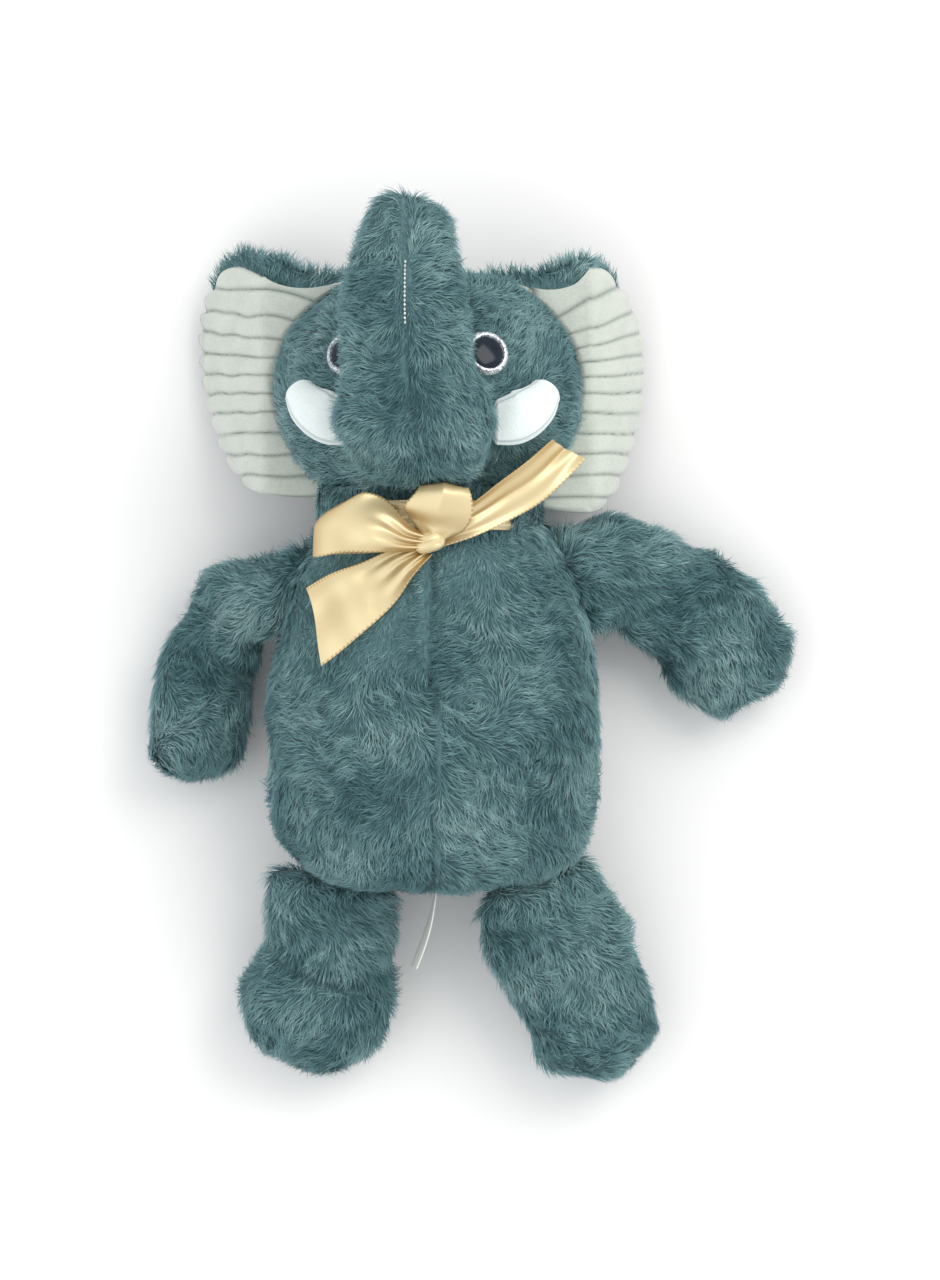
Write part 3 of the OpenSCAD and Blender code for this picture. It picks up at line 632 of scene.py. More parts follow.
class Recipe:
    """A material in the making, with the few kinds of node that the finishes share."""

    def __init__(self, name: str) -> None:
        """Starts a material with an empty node tree.

        Args:
            name: The material's name.
        """
        self.material = bpy.data.materials.new(name)
        self.material.use_nodes = True
        self.tree = self.material.node_tree
        self.tree.nodes.clear()

    def place(self) -> bpy.types.NodeSocket:
        """Places in the object's own coordinates, in metres."""
        return add_node(self.tree, "ShaderNodeTexCoord").outputs["Object"]

    def uv(self, name: str) -> bpy.types.NodeSocket:
        """Places on the UV map with this name."""
        return add_node(self.tree, "ShaderNodeUVMap", uv_map=name).outputs[0]

    def field(self, name: str) -> bpy.types.NodeSocket:
        """The value of the vertex attribute with this name, 0 where a mesh has none."""
        return add_node(self.tree, "ShaderNodeAttribute", attribute_name=name).outputs["Fac"]

    def noise(self, place: bpy.types.NodeSocket, scale: float, detail: float) -> bpy.types.NodeSocket:
        """Smooth noise over places in metres, with scale lumps to the metre."""
        links = {"Vector": place, "Scale": scale, "Detail": detail}
        return add_node(self.tree, "ShaderNodeTexNoise", links).outputs[0]

    def wave(self, place: bpy.types.NodeSocket, scale: float, distortion: float, way: str) -> bpy.types.Node:
        """Bands across the way X or DIAGONAL, as a node."""
        links = {"Vector": place, "Scale": scale, "Distortion": distortion}
        return add_node(self.tree, "ShaderNodeTexWave", links, bands_direction=way)

    def ramp(self, value: bpy.types.NodeSocket, *stops: tuple[float, str]) -> bpy.types.NodeSocket:
        """A value turned into a colour by places and hex colours."""
        return add_node(self.tree, "ShaderNodeValToRGB", {0: value}, stops=list(stops)).outputs[0]

    def span(self, value: bpy.types.NodeSocket, low: float, high: float) -> bpy.types.NodeSocket:
        """A value clamped and stretched so that low..high becomes 0..1."""
        return add_node(self.tree, "ShaderNodeMapRange", {0: value, 1: low, 2: high}).outputs[0]

    def mix(self, share: object, first: object, second: object, blend: str = "MIX") -> bpy.types.NodeSocket:
        """Two colours blended by a share; each is a value or a socket."""
        links = {0: share, 6: first, 7: second}
        return add_node(self.tree, "ShaderNodeMix", links, data_type="RGBA", blend_type=blend).outputs[2]

    def bump(self, height: bpy.types.NodeSocket, strength: float, distance: float) -> bpy.types.NodeSocket:
        """Normals tilted by a height field; distance is in metres."""
        links = {"Height": height, "Strength": strength, "Distance": distance}
        return add_node(self.tree, "ShaderNodeBump", links).outputs[0]

    def finish(self, inputs: dict[str, object]) -> bpy.types.Material:
        """Ends the tree with a principled shader.

        Args:
            inputs: The shader's inputs, each a value or a socket.

        Returns:
            The material.
        """
        shader = add_node(self.tree, "ShaderNodeBsdfPrincipled", inputs)
        add_node(self.tree, "ShaderNodeOutputMaterial", {"Surface": shader.outputs[0]})
        return self.material


@dataclass(frozen=True)
class PlushPile:
    """Polyester long-pile plush, cut and brushed: fine matt strands that catch light at their tips."""

    deep: str = "#4d777e"
    middle: str = "#88b2b7"
    pale: str = "#bcdcdd"

    def build(self) -> bpy.types.Material:
        """A strand is darker at its root, as painted shade deep in the pile, and pale at its tip; columns of
        the map are shades of the dye, darker between locks and along seams as painted shade.

        Returns:
            The material.
        """
        recipe = Recipe("long_pile_plush")
        column, rise = add_node(recipe.tree, "ShaderNodeSeparateXYZ", {0: recipe.uv(BAKE_MAP)}).outputs[:2]
        dye = recipe.ramp(column, (0.05, self.deep), (0.95, self.pale), (0.5, self.middle))
        # Painted shade: a strand darkens towards its root, deep in the pile.
        root_shade = recipe.ramp(rise, (0.0, "#7c8a8c"), (1.0, "#ffffff"), (0.45, "#d6dcdc"))
        return recipe.finish(
            {
                "Base Color": recipe.mix(1.0, dye, root_shade, "MULTIPLY"),
                "Roughness": 0.65,
                "Specular IOR Level": 0.2,
                "Sheen Weight": 0.12,
                "Sheen Roughness": 0.4,
                "Sheen Tint": linear("#8fb8bd"),
            }
        )


@dataclass(frozen=True)
class PlushBacking:
    """Knitted backing under the pile, painted darker than the pile's dye as painted shade deep in the pile:
    shows as dark streaks between the locks.
    """

    dark: str = "#3a5a60"
    light: str = "#5f8287"
    strand_mm: float = 1.1

    def build(self) -> bpy.types.Material:
        """Streaks one lock apart, from a noise stretched along the toy.

        Returns:
            The material.
        """
        recipe = Recipe("plush_backing")
        stretch = add_node(recipe.tree, "ShaderNodeMapping", {0: recipe.place(), "Scale": (1.0, 0.3, 1.0)})
        streak = recipe.noise(stretch.outputs[0], 1 / (self.strand_mm * MM), 3.0)
        return recipe.finish(
            {
                "Base Color": recipe.ramp(streak, (0.3, self.dark), (0.7, self.light)),
                "Normal": recipe.bump(streak, 0.6, 0.8 * MM),
                "Roughness": 0.9,
                "Sheen Weight": 0.2,
            }
        )


@dataclass(frozen=True)
class ShortNap:
    """Polyester velboa or minky with a nap of a millimetre: soft, matt, with a pale bloom at its edges.

    Where the attribute for seams and channels nears 1, the nap is pressed into a seam or a sewn groove and
    painted darker there, as painted shade.
    """

    name: str
    colour: str
    shade: str
    # Colour of the painted shade in seams and sewn channels.
    channel: str
    grain_mm: float = 0.9
    clouds: float = 90.0

    def build(self) -> bpy.types.Material:
        """Fine cloudy nap, painted darker in the channels as painted shade.

        Returns:
            The material.
        """
        recipe = Recipe(self.name)
        place = recipe.place()
        grain = recipe.noise(place, 1 / (self.grain_mm * MM), 2.0)
        cloud = recipe.noise(place, self.clouds, 3.0)
        both = add_node(recipe.tree, "ShaderNodeMath", {0: grain, 1: cloud}, operation="ADD").outputs[0]
        nap = recipe.mix(recipe.span(both, 0.7, 1.3), linear(self.shade), linear(self.colour))
        return recipe.finish(
            {
                "Base Color": recipe.mix(recipe.field("channel"), nap, linear(self.channel)),
                "Normal": recipe.bump(grain, 0.35, 0.4 * MM),
                "Roughness": 0.85,
                "Specular IOR Level": 0.25,
                "Sheen Weight": 0.4,
                "Sheen Roughness": 0.5,
            }
        )


@dataclass(frozen=True)
class SatinWeave:
    """Woven polyester satin ribbon: long floats give a bright band across each fold.

    The map "cloth" runs along the ribbon in u and across it in v, both in decimetres. Where the
    attribute "lean" nears 1, the cloth stands on edge and is painted a deeper colour, as painted
    shade where it turns away from the light above. A light or a dark weft line is about float_mm
    wide, and a dot of the selvedge about a millimetre long.
    """

    colour: str = "#e4d3a6"
    shade: str = "#bc9d66"
    # Painted shade, for cloth that stands on edge.
    turn: str = "#b3925a"
    float_mm: float = 0.35
    dot_scale: float = 16.0
    selvedge: float = 0.95

    def build(self) -> bpy.types.Material:
        """Fine weft lines, and a denser dotted selvedge along each edge.

        Returns:
            The material.
        """
        recipe = Recipe("satin_ribbon")
        place = recipe.uv("cloth")
        weft = recipe.wave(place, 100 / (self.float_mm * 2 * math.pi), 0.6, "X")
        rim = recipe.span(recipe.field("edge"), self.selvedge - 0.03, self.selvedge)
        dots = recipe.wave(place, self.dot_scale, 0.0, "X").outputs["Fac"]
        dotted = add_node(recipe.tree, "ShaderNodeMath", {0: rim, 1: dots}, operation="MULTIPLY").outputs[0]
        woven = recipe.mix(0.07, linear(self.colour), weft.outputs["Color"], "SOFT_LIGHT")
        edged = recipe.mix(dotted, woven, linear(self.shade))
        return recipe.finish(
            {
                # Painted shade: deeper colour where the cloth stands on edge.
                "Base Color": recipe.mix(recipe.field("lean"), edged, linear(self.turn)),
                "Normal": recipe.bump(weft.outputs["Fac"], 0.04, 0.1 * MM),
                "Roughness": 0.34,
                "Metallic": 0.35,
                "Anisotropic": 0.4,
                "Specular IOR Level": 0.7,
            }
        )


@dataclass(frozen=True)
class GlitterRing:
    """Clear styrene ring over silver glitter: flakes of half a millimetre that flash each its own way."""

    light: str = "#f2f5f8"
    dark: str = "#76818c"
    flake_mm: float = 0.7

    def build(self) -> bpy.types.Material:
        """Each flake is a cell with its own shade and its own tilt.

        Returns:
            The material.
        """
        recipe = Recipe("silver_glitter")
        cells_apart = {"Vector": recipe.place(), "Scale": 1 / (self.flake_mm * MM)}
        flakes = add_node(recipe.tree, "ShaderNodeTexVoronoi", cells_apart).outputs["Color"]
        return recipe.finish(
            {
                "Base Color": recipe.ramp(flakes, (0.2, self.dark), (0.75, self.light)),
                "Normal": recipe.bump(flakes, 0.7, 0.6 * MM),
                "Metallic": 0.6,
                "Roughness": 0.28,
                "Coat Weight": 0.6,
                "Coat Roughness": 0.05,
            }
        )


@dataclass(frozen=True)
class Moulded:
    """Injection-moulded plastic, with the faint unevenness of a polished or a dull mould."""

    name: str
    colour: str
    shade: str
    roughness: float
    gloss: float = 0.5
    clouds: float = 160.0

    def build(self) -> bpy.types.Material:
        """Slow clouds of two close shades.

        Returns:
            The material.
        """
        recipe = Recipe(self.name)
        cloud = recipe.noise(recipe.place(), self.clouds, 2.0)
        return recipe.finish(
            {
                "Base Color": recipe.ramp(cloud, (0.35, self.colour), (0.7, self.shade)),
                "Roughness": self.roughness,
                "Specular IOR Level": self.gloss,
            }
        )


@dataclass(frozen=True)
class Twisted:
    """Spun polyester thread or woven tape: two shades that alternate at the twist."""

    name: str
    light: str
    dark: str
    twist_mm: float = 0.8

    def build(self) -> bpy.types.Material:
        """Slanting bands, each about as wide as twist_mm.

        Returns:
            The material.
        """
        recipe = Recipe(self.name)
        scale = 1 / (self.twist_mm * MM * 2 * math.pi)
        ply = recipe.wave(recipe.place(), scale, 1.5, "DIAGONAL").outputs["Fac"]
        return recipe.finish(
            {
                "Base Color": recipe.ramp(ply, (0.2, self.dark), (0.7, self.light)),
                "Normal": recipe.bump(ply, 0.4, 0.2 * MM),
                "Roughness": 0.7,
            }
        )


class Finishes:
    """Every finish of the toy, built once."""

    def __init__(self) -> None:
        """Builds the materials."""
        self.pile = PlushPile().build()
        self.backing = PlushBacking().build()
        # The last colour of each short nap is painted shade for its seams and channels.
        self.lining = ShortNap("ribbed_minky", "#cfd5cc", "#bfc6bd", "#75827b").build()
        self.tusk = ShortNap("white_velboa", "#eef6f5", "#dfeae9", "#aebfc0").build()
        self.satin = SatinWeave().build()
        self.glitter = GlitterRing().build()
        self.pupil = Moulded("polished_styrene", "#0b1620", "#142433", 0.14, 0.3).build()
        self.washer = Moulded("moulded_polyethylene", "#dfe0dc", "#cfd0cb", 0.55).build()
        self.thread = Twisted("spun_thread", "#52696e", "#2f4347").build()
        self.white_thread = Twisted("white_thread", "#f2f4ef", "#c3c9c4", 0.5).build()
        self.tape = Twisted("woven_tape", "#f6f6f2", "#e4e4df", 0.4).build()


# ---- The toy's sub-assemblies


@dataclass
class Bag:
    """A sewn and stuffed form: its backing's grid and what it stands for."""

    name: str
    grid: np.ndarray
    stands_for: list[str]

    def __post_init__(self) -> None:
        """Works out the outward normals."""
        self.normals = grid_normals(self.grid)

    def pad(self, seed: int, lump: float, wavelength: float = 34.0) -> None:
        """Swells the backing by a smooth random lump, as uneven stuffing does.

        Args:
            seed: Seed of the lumps.
            lump: Their usual height, in millimetres.
            wavelength: Their usual length, in millimetres.
        """
        self.grid = self.grid + self.normals * (Swell(seed, wavelength).value(self.grid) * lump)[..., None]
        self.grid[..., 2] = np.maximum(FLOOR_PRESS, self.grid[..., 2])
        self.normals = grid_normals(self.grid)

    def press(self, depth: np.ndarray) -> None:
        """Pulls the backing in along its normals by a depth per point, as a seam or crease does."""
        self.grid = self.grid - self.normals * depth[..., None]
        self.normals = grid_normals(self.grid)

    def cover(self, material: bpy.types.Material) -> bpy.types.Object:
        """Makes the backing a padded piece that stands for the CAD solids.

        Args:
            material: Its finish.

        Returns:
            The piece.
        """
        faces, _ = bag_faces(*self.grid.shape[:2])
        points = bag_points(self.grid)
        piece = make_piece(self.name, PLAN.place(points), outward(points, faces), material)
        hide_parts(*self.stands_for)
        return piece

    def patch(self, first: float, last: float) -> tuple[np.ndarray, np.ndarray]:
        """The part of the grid between two angles round it, with its seam column repeated.

        Args:
            first: The first angle, in turns.
            last: The last angle, in turns.

        Returns:
            Points and normals.
        """
        columns = self.grid.shape[1]
        picked = np.arange(round(first * columns), round(last * columns) + 1) % columns
        return self.grid[:, picked], self.normals[:, picked]


def cells(grid: np.ndarray) -> np.ndarray:
    """The middle of each cell of a grid."""
    return (grid[:-1, :-1] + grid[1:, :-1] + grid[:-1, 1:] + grid[1:, 1:]) / 4


def attach(
    piece: bpy.types.Object, start: np.ndarray, end: np.ndarray
) -> bpy.types.Object:
    """Bakes a piece's transform into its mesh; it does not bend the piece.

    Args:
        piece: The piece.
        start: Where the bend would start, in millimetres; it is not used.
        end: Where it would end; it is not used.

    Returns:
        The piece.
    """
    spots = [tuple(float(x) for x in PLAN.place(np.asarray(p, float))) for p in (start, end)]
    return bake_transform(piece)


@dataclass
class Torso:
    """The pear-shaped torso, lying on its back, with a seam down the middle of its belly."""

    finishes: Finishes
    length: float = 168.0
    shoulders: float = 132.0
    hips: float = 160.0
    height: float = 104.0
    power: float = 0.5
    seam_depth: float = 3.0

    @property
    def middle_z(self) -> float:
        """Height of the side seams."""
        return 0.442 * self.height

    def half_width(self, y: float) -> float:
        """Half width at the side seam: the outline of the CAD torso at a place along Y.

        Args:
            y: The place, in millimetres.

        Returns:
            The half width, in millimetres.
        """
        travel = (NECK_Y - y) / self.length
        reach = max(0.0, 1 - (1 - 2 * travel) ** 2) ** (self.power / 2)
        return (self.shoulders + (self.hips - self.shoulders) * travel) / 2 * reach

    def seat_y(self, x: float) -> float:
        """Y of the seat at a place along X, found by stepping in from the end.

        Args:
            x: The place, in millimetres.

        Returns:
            Y, in millimetres.
        """
        y = -self.length
        while self.half_width(y) <= abs(x):
            y += 0.5
        return y

    def nap(self, p: np.ndarray) -> np.ndarray:
        """The pile is combed down the belly and away from the seam, and whirls below the bow.

        Args:
            p: Roots, in millimetres.

        Returns:
            Ways, one row per root.
        """
        x, y = p[:, 0], p[:, 1]
        side = np.tanh(x / 18.0)
        way = np.stack([0.75 * side, -np.ones_like(x), -0.35 * np.ones_like(x)], -1)
        eddy = np.exp(-((x - 12) ** 2 + (y + 76) ** 2) / 900.0)[:, None]
        spin = unit(np.stack([-(y + 76), x - 12, 0 * x], -1) + 1e-6)
        return way * (1 - 0.8 * eddy) + 1.3 * eddy * spin

    def build(self) -> None:
        """Builds the backing and its three pelts."""
        up = self.height - self.middle_z - PILE
        bag = Bag(
            "torso_backing",
            egg(
                (NECK_Y + 4.0, NECK_Y - self.length + PILE),
                (self.shoulders - 2 * PILE + 4.0, self.hips - 2 * PILE + 5.0),
                (up, self.middle_z + 4.0 - PILE),
                (0.6, self.middle_z),
                0.76 * self.power,
            ),
            ["torso_front_left", "torso_front_right", "torso_back", "torso_stuffing"],
        )
        bag.pad(11, 0.9)
        x, z = bag.grid[..., 0], bag.grid[..., 2]
        seam = self.seam_depth * np.exp(-((x / 2.4) ** 2)) * (z > self.middle_z)
        sides = 1.5 * np.exp(-(((z - self.middle_z) / 3.0) ** 2))
        bag.press(seam + sides)
        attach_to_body(bag.cover(self.finishes.backing), "torso")
        fur = Fur(101)
        for name, first, last, coat in (
            ("torso_pelt_right", 0.0, 0.25, Coat()),
            ("torso_pelt_left", 0.25, 0.5, Coat()),
            ("torso_pelt_back", 0.5, 1.0, Coat(per_mm2=0.48, width=0.95)),
        ):
            grid, normals = bag.patch(first, last)
            spot = cells(grid)
            share = np.where((spot[..., 1] > 0) & (spot[..., 2] > 20), 0.4, 1.0)
            share = np.where(spot[..., 2] < FLOOR_PRESS + 1, 0.75, share)
            p, normal = fur.roots(grid, normals, share, coat.per_mm2)
            near = np.exp(-((p[:, 0] / 3.2) ** 2)) * (p[:, 2] > self.middle_z)
            under = np.exp(-(((p[:, 0] + 30) / 34) ** 4) - ((p[:, 1] + 30) / 30) ** 4)
            bow = np.maximum(np.exp(-(((p[:, 0] + 4) / 40) ** 4) - ((p[:, 1] + 8) / 22) ** 4), under)
            bow = bow * (p[:, 2] > 60)
            piece = fur.grow(
                name,
                p,
                normal,
                self.nap(p),
                coat,
                self.finishes.pile,
                swirl=0.62,
                scale=1 - 0.25 * near - 0.45 * bow,
                lie=1 - 0.3 * near - 0.6 * bow,
                # Painted shade: strands are darker along the belly seam.
                groove_shade=-0.22 * np.exp(-((p[:, 0] / 1.6) ** 2)) * (p[:, 2] > self.middle_z),
            )
            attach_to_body(piece, "torso")


@dataclass
class Head:
    """The round head, its neck, its eyes and the trunk laid back over its face."""

    finishes: Finishes
    torso: Torso
    width: float = 138.0
    length: float = 109.0
    height: float = 114.0
    face_x: float = -4.0
    eye_spread: float = 30.5
    pupil: float = 14.0
    trunk_length: float = 124.0
    trunk_root: float = 68.0
    trunk_tip: float = 42.0
    trunk_thick: float = 34.0

    @property
    def chin_y(self) -> float:
        """Y of the chin, past the play at the neck."""
        return NECK_Y + 3.0

    @property
    def middle_y(self) -> float:
        """Y of the middle of the head."""
        return self.chin_y + self.length / 2

    @property
    def middle_z(self) -> float:
        """Height of the head's side seams."""
        return 0.474 * self.height

    @property
    def trunk_root_y(self) -> float:
        """Y of the trunk's root."""
        return self.chin_y + 15.0

    def half_width(self, y: float | np.ndarray) -> float | np.ndarray:
        """Half width of the head at its side seam."""
        return self.width / 2 * np.sqrt(np.maximum(0, 1 - ((y - self.middle_y) / (self.length / 2)) ** 2))

    def face_z(self, x: float, y: float) -> float:
        """Height of the CAD face over a place.

        Args:
            x: X of the place, in millimetres.
            y: Its Y.

        Returns:
            Z, in millimetres.
        """
        across = (x - self.face_x / 2) / (self.width / 2)
        up = (y - self.middle_y) / (self.length / 2)
        share = 1 - across**2 - up**2
        return self.middle_z + (self.height - self.middle_z) * math.sqrt(max(0.02, share))

    def eye_place(self, side: Side) -> np.ndarray:
        """Middle of an eye's ring on the face."""
        x, y = self.face_x * 1.6 + side.value * self.eye_spread, self.middle_y + 13.0
        return np.array([x, y, self.face_z(x, y)])

    def nap(self, p: np.ndarray) -> np.ndarray:
        """The pile is combed outwards from the middle of the face, and up towards the crown."""
        x, y = p[:, 0] - self.face_x, p[:, 1] - (self.middle_y - 14)
        return np.stack([x, y, -0.3 * np.abs(x)], -1) / 30.0 + np.array([0.0, 0.15, -0.5])

    def build_head(self) -> None:
        """Builds the head's backing and its pelts."""
        up = self.height - self.middle_z - PILE
        bag = Bag(
            "head_backing",
            egg(
                (self.chin_y - 1.0, self.chin_y + self.length - PILE),
                (self.width - 2 * PILE,) * 2,
                (up, self.middle_z + 2.0 - PILE),
                (self.face_x / 2, self.middle_z),
                0.96,
            ),
            ["head_face_left", "head_face_right", "head_back", "head_stuffing"],
        )
        bag.pad(21, 0.8)
        grid = bag.grid
        dents = np.zeros(grid.shape[:2])
        for side in Side:
            away = np.linalg.norm(grid - self.eye_place(side), axis=-1)
            dents += 1.6 * np.exp(-((away / 12.0) ** 2))
        bag.press(dents)
        start, end = np.array([0, NECK_Y, 50.0]), np.array([0, NECK_Y + 16.0, 50.0])
        attach(bag.cover(self.finishes.backing), start, end)
        fur = Fur(201)
        for name, first, last, coat in (
            ("head_pelt_right", 0.0, 0.25, Coat(length=8.5)),
            ("head_pelt_left", 0.25, 0.5, Coat(length=8.5)),
            ("head_pelt_back", 0.5, 1.0, Coat(per_mm2=0.48, width=0.95)),
        ):
            patch, normals = bag.patch(first, last)
            spot = cells(patch)
            under = np.abs(spot[..., 0] - self.face_x) < 20
            under = under & (spot[..., 1] > self.trunk_root_y) & (spot[..., 2] > 80)
            share = np.where(under, 0.35, 1.0)
            share = np.where(spot[..., 2] < FLOOR_PRESS + 1, 0.75, share)
            p, normal = fur.roots(patch, normals, share, coat.per_mm2)
            nap, scale, keep = self.nap(p), np.ones(len(p)), np.ones(len(p), bool)
            lie = 1 + 0.8 * np.exp(-(((p[:, 2] - self.middle_z - 8) / 14) ** 2))
            for side in Side:
                away = p - self.eye_place(side)
                far = np.linalg.norm(away, axis=-1)
                ring = np.exp(-((far / 17.0) ** 4))
                nap = nap * (1 - ring[:, None]) + unit(away) * ring[:, None]
                scale = scale * (1 - 0.45 * ring)
                lie = lie * (1 - 0.45 * ring)
                keep &= far > 8.5
            p, normal, nap, scale, lie = (v[keep] for v in (p, normal, nap, scale, lie))
            piece = fur.grow(name, p, normal, nap, coat, self.finishes.pile, 0.5, scale, lie)
            attach(piece, start, end)

    def trunk_path(self) -> LimbPath:
        """The trunk's path over the face, inset by the pile.

        Returns:
            The path.
        """
        half_t = self.trunk_thick / 2
        rows = []
        for f, half_w, thick, rise in (
            (0.052, 0.4 * self.trunk_root, 0.9 * half_t, -14.5),
            (0.18, 0.52 * self.trunk_root, 0.95 * half_t, -2.0),
            (0.36, 0.44 * self.trunk_root, half_t, 0.0),
            (0.54, 0.42 * self.trunk_root, half_t, -2.0),
            (0.72, 0.58 * self.trunk_tip, 0.92 * half_t, -11.0),
            (0.88, 0.46 * self.trunk_tip, 0.82 * half_t, -26.0),
        ):
            x = self.face_x * (1 + 1.4 * f + 1.1 * math.sin(math.pi * f))
            y = self.trunk_root_y + self.trunk_length * f
            z = self.face_z(x, min(y, self.middle_y)) + thick + 1.5 + rise
            rows.append([x, y, z, half_w - 0.6 * PILE, max(thick - PILE, 3.0)])
        return LimbPath(np.array(rows), (1, 0, 0), 5.0, 0.12 * self.trunk_length - 2.0)

    def build_trunk(self) -> None:
        """Builds the trunk with its sewn underside up, and its white hand stitches."""
        path = self.trunk_path()
        bag = Bag(
            "trunk_backing",
            path.bag(rows=84),
            ["trunk_left", "trunk_right", "trunk_top", "trunk_stuffing"],
        )
        bag.pad(31, 0.7, 26.0)
        rows, columns = bag.grid.shape[:2]
        turn = np.arange(columns) / columns - 0.25
        up_trunk = ease((np.linspace(0, 1, rows) - 0.15) / 0.15)[:, None]
        bag.press(2.2 * np.exp(-((turn / 0.016) ** 2)) * up_trunk)
        hinge_y = self.trunk_root_y - 1.0
        start, end = np.array([self.face_x, hinge_y - 3, 95.0]), np.array([self.face_x, hinge_y + 15, 95.0])
        attach(bag.cover(self.finishes.backing), start, end)
        fur = Fur(301)
        coat = Coat(length=8.5, per_mm2=1.0)
        patch, normals = bag.patch(0.0, 1.0)
        share = np.where(normals[:-1, :-1, 2] < -0.4, 0.55, 1.0)
        p, normal = fur.roots(patch, normals, share, coat.per_mm2)
        middle = np.interp(p[:, 1], path.keys[:, 1], path.keys[:, 0])
        off = p[:, 0] - middle
        seam = np.exp(-((off / 2.2) ** 2)) * (normal[:, 2] > 0.4) * (p[:, 1] > self.trunk_root_y + 28)
        down = ease((self.trunk_root_y + 90 - p[:, 1]) / 60)
        nap = np.stack([np.tanh(off / 7) * (0.75 + 0.5 * seam), -0.9 * down - 0.15, -0.25 + 0 * off], -1)
        piece = fur.grow(
            "trunk_pelt",
            p,
            normal,
            nap,
            coat,
            self.finishes.pile,
            swirl=0.42,
            scale=1 - 0.35 * seam,
            lie=1 - 0.5 * seam,
            # Painted shade: strands are darker along the trunk's seam.
            groove_shade=-0.3 * np.exp(-((off / 1.5) ** 2)) * (seam > 0),
        )
        attach(piece, start, end)
        self.stitch(path)

    def stitch(self, path: LimbPath, count: int = 15, length: float = 1.7, thick: float = 0.5) -> None:
        """White stitches down the trunk's seam: small spindles whose half width is sin(pi t).

        Args:
            path: The trunk's path.
            count: How many stitches.
            length: Length of one stitch.
            thick: Its half thickness.
        """
        f = np.linspace(0.58, 0.82, count)
        keys = along(path.keys, f)
        middle = keys[:, :3] + np.array([0, 0, 1.0]) * (keys[:, 4:] + 1.2)
        t = np.linspace(0, 1, 7)[:, None]
        a = 2 * np.pi * np.arange(8) / 8
        r = thick * np.sin(np.pi * np.clip(t, 0.02, 0.98))
        one = np.stack([r * np.cos(a), (t - 0.5) * length + 0 * a, r * np.sin(a)], -1)
        faces, size = bag_faces(*one.shape[:2])
        shape = bag_points(one)
        points = (middle[:, None] + shape[None]).reshape(-1, 3)
        step = size * np.arange(count)[:, None, None]
        faces = [(f[None] + step).reshape(-1, f.shape[1]) for f in faces]
        faces = outward(points, faces)
        piece = make_piece("trunk_hand_stitches", PLAN.place(points), faces, self.finishes.white_thread)
        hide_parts("trunk_stitches")
        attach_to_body(piece, "trunk")

    def build_eyes(self) -> None:
        """Dresses the CAD eyes: a glitter ring, a polished pupil and the washer behind it."""
        for side in Side:
            dress(f"{side.word}_eye_ring", self.finishes.glitter)
            dress(f"{side.word}_eye_washer", self.finishes.washer)
            low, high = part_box(f"{side.word}_eye_ring")
            middle = np.array(low + high) / 2
            out = self.face_normal(side)
            across = unit(np.cross(out, np.array([0.0, 1.0, 0.0])))
            up = np.cross(across, out)
            a = 2 * np.pi * np.arange(64) / 64
            r = np.sin(np.linspace(0, np.pi, 25))[:, None]
            lift = np.cos(np.linspace(0, np.pi, 25))[:, None]
            dome = np.where(lift > 0, 1.7 * lift, 1.2 * lift) + 0.6
            radius = self.pupil / 2 + 0.4
            grid = (r * np.cos(a))[..., None] * across + (r * np.sin(a))[..., None] * up
            grid = middle + (grid * radius + (dome + 0 * a)[..., None] * out) * MM
            points = bag_points(grid)
            faces = outward(points, bag_faces(25, 64)[0])
            piece = make_piece(f"{side.word}_eye_dome", points, faces, self.finishes.pupil)
            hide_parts(f"{side.word}_eye_pupil")
            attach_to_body(piece, "head")

    def face_normal(self, side: Side) -> np.ndarray:
        """The way an eye looks: the gradient of the face's ellipsoid at the eye.

        Args:
            side: Which eye.

        Returns:
            A unit vector.
        """
        x, y, z = self.eye_place(side)
        return unit(
            np.array(
                [
                    (x - self.face_x / 2) / (self.width / 2) ** 2,
                    (y - self.middle_y) / (self.length / 2) ** 2,
                    (z - self.middle_z) / (self.height - self.middle_z) ** 2,
                ]
            )
        )

    def build_neck(self) -> None:
        """A short sleeve of plush that joins the head to the torso inside the ribbon."""
        z = (self.torso.middle_z + self.middle_z) / 2
        keys = np.array([[-1.0, y, z, 49.0, 41.0] for y in (-10.0, -2.0, 8.0, 18.0)])
        bag = Bag("neck_backing", LimbPath(keys, (1, 0, 0), 4.0, 4.0).bag(rows=24, columns=64), [])
        bag.grid[..., 2] = np.maximum(bag.grid[..., 2], 6.0)
        bag.normals = grid_normals(bag.grid)
        start, end = np.array([0, NECK_Y - 4, 50.0]), np.array([0, NECK_Y + 9, 50.0])
        attach(bag.cover(self.finishes.backing), start, end)
        fur = Fur(251)
        coat = Coat(length=7.0, per_mm2=0.6, lift=0.4, width=0.66)
        patch, normals = bag.patch(0.0, 1.0)
        p, normal = fur.roots(patch, normals, np.ones(np.array(patch.shape[:2]) - 1), coat.per_mm2)
        nap = np.array([0.0, -1.0, 0.3]) + 0 * p
        pelt = fur.grow("neck_pelt", p, normal, nap, coat, self.finishes.pile, 0.5)
        attach(pelt, start, end)

    def build(self) -> None:
        """Builds head, neck, eyes and trunk."""
        self.build_head()
        self.build_neck()
        self.build_eyes()
        self.build_trunk()


def dress(node: str, material: bpy.types.Material) -> None:
    """Gives a CAD node that stays in sight its finish.

    Args:
        node: The node's name.
        material: Its finish.
    """
    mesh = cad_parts[node].data
    mesh.materials.clear()
    mesh.materials.append(material)
    LOG.info("%s: CAD node, %s", node, material.name)


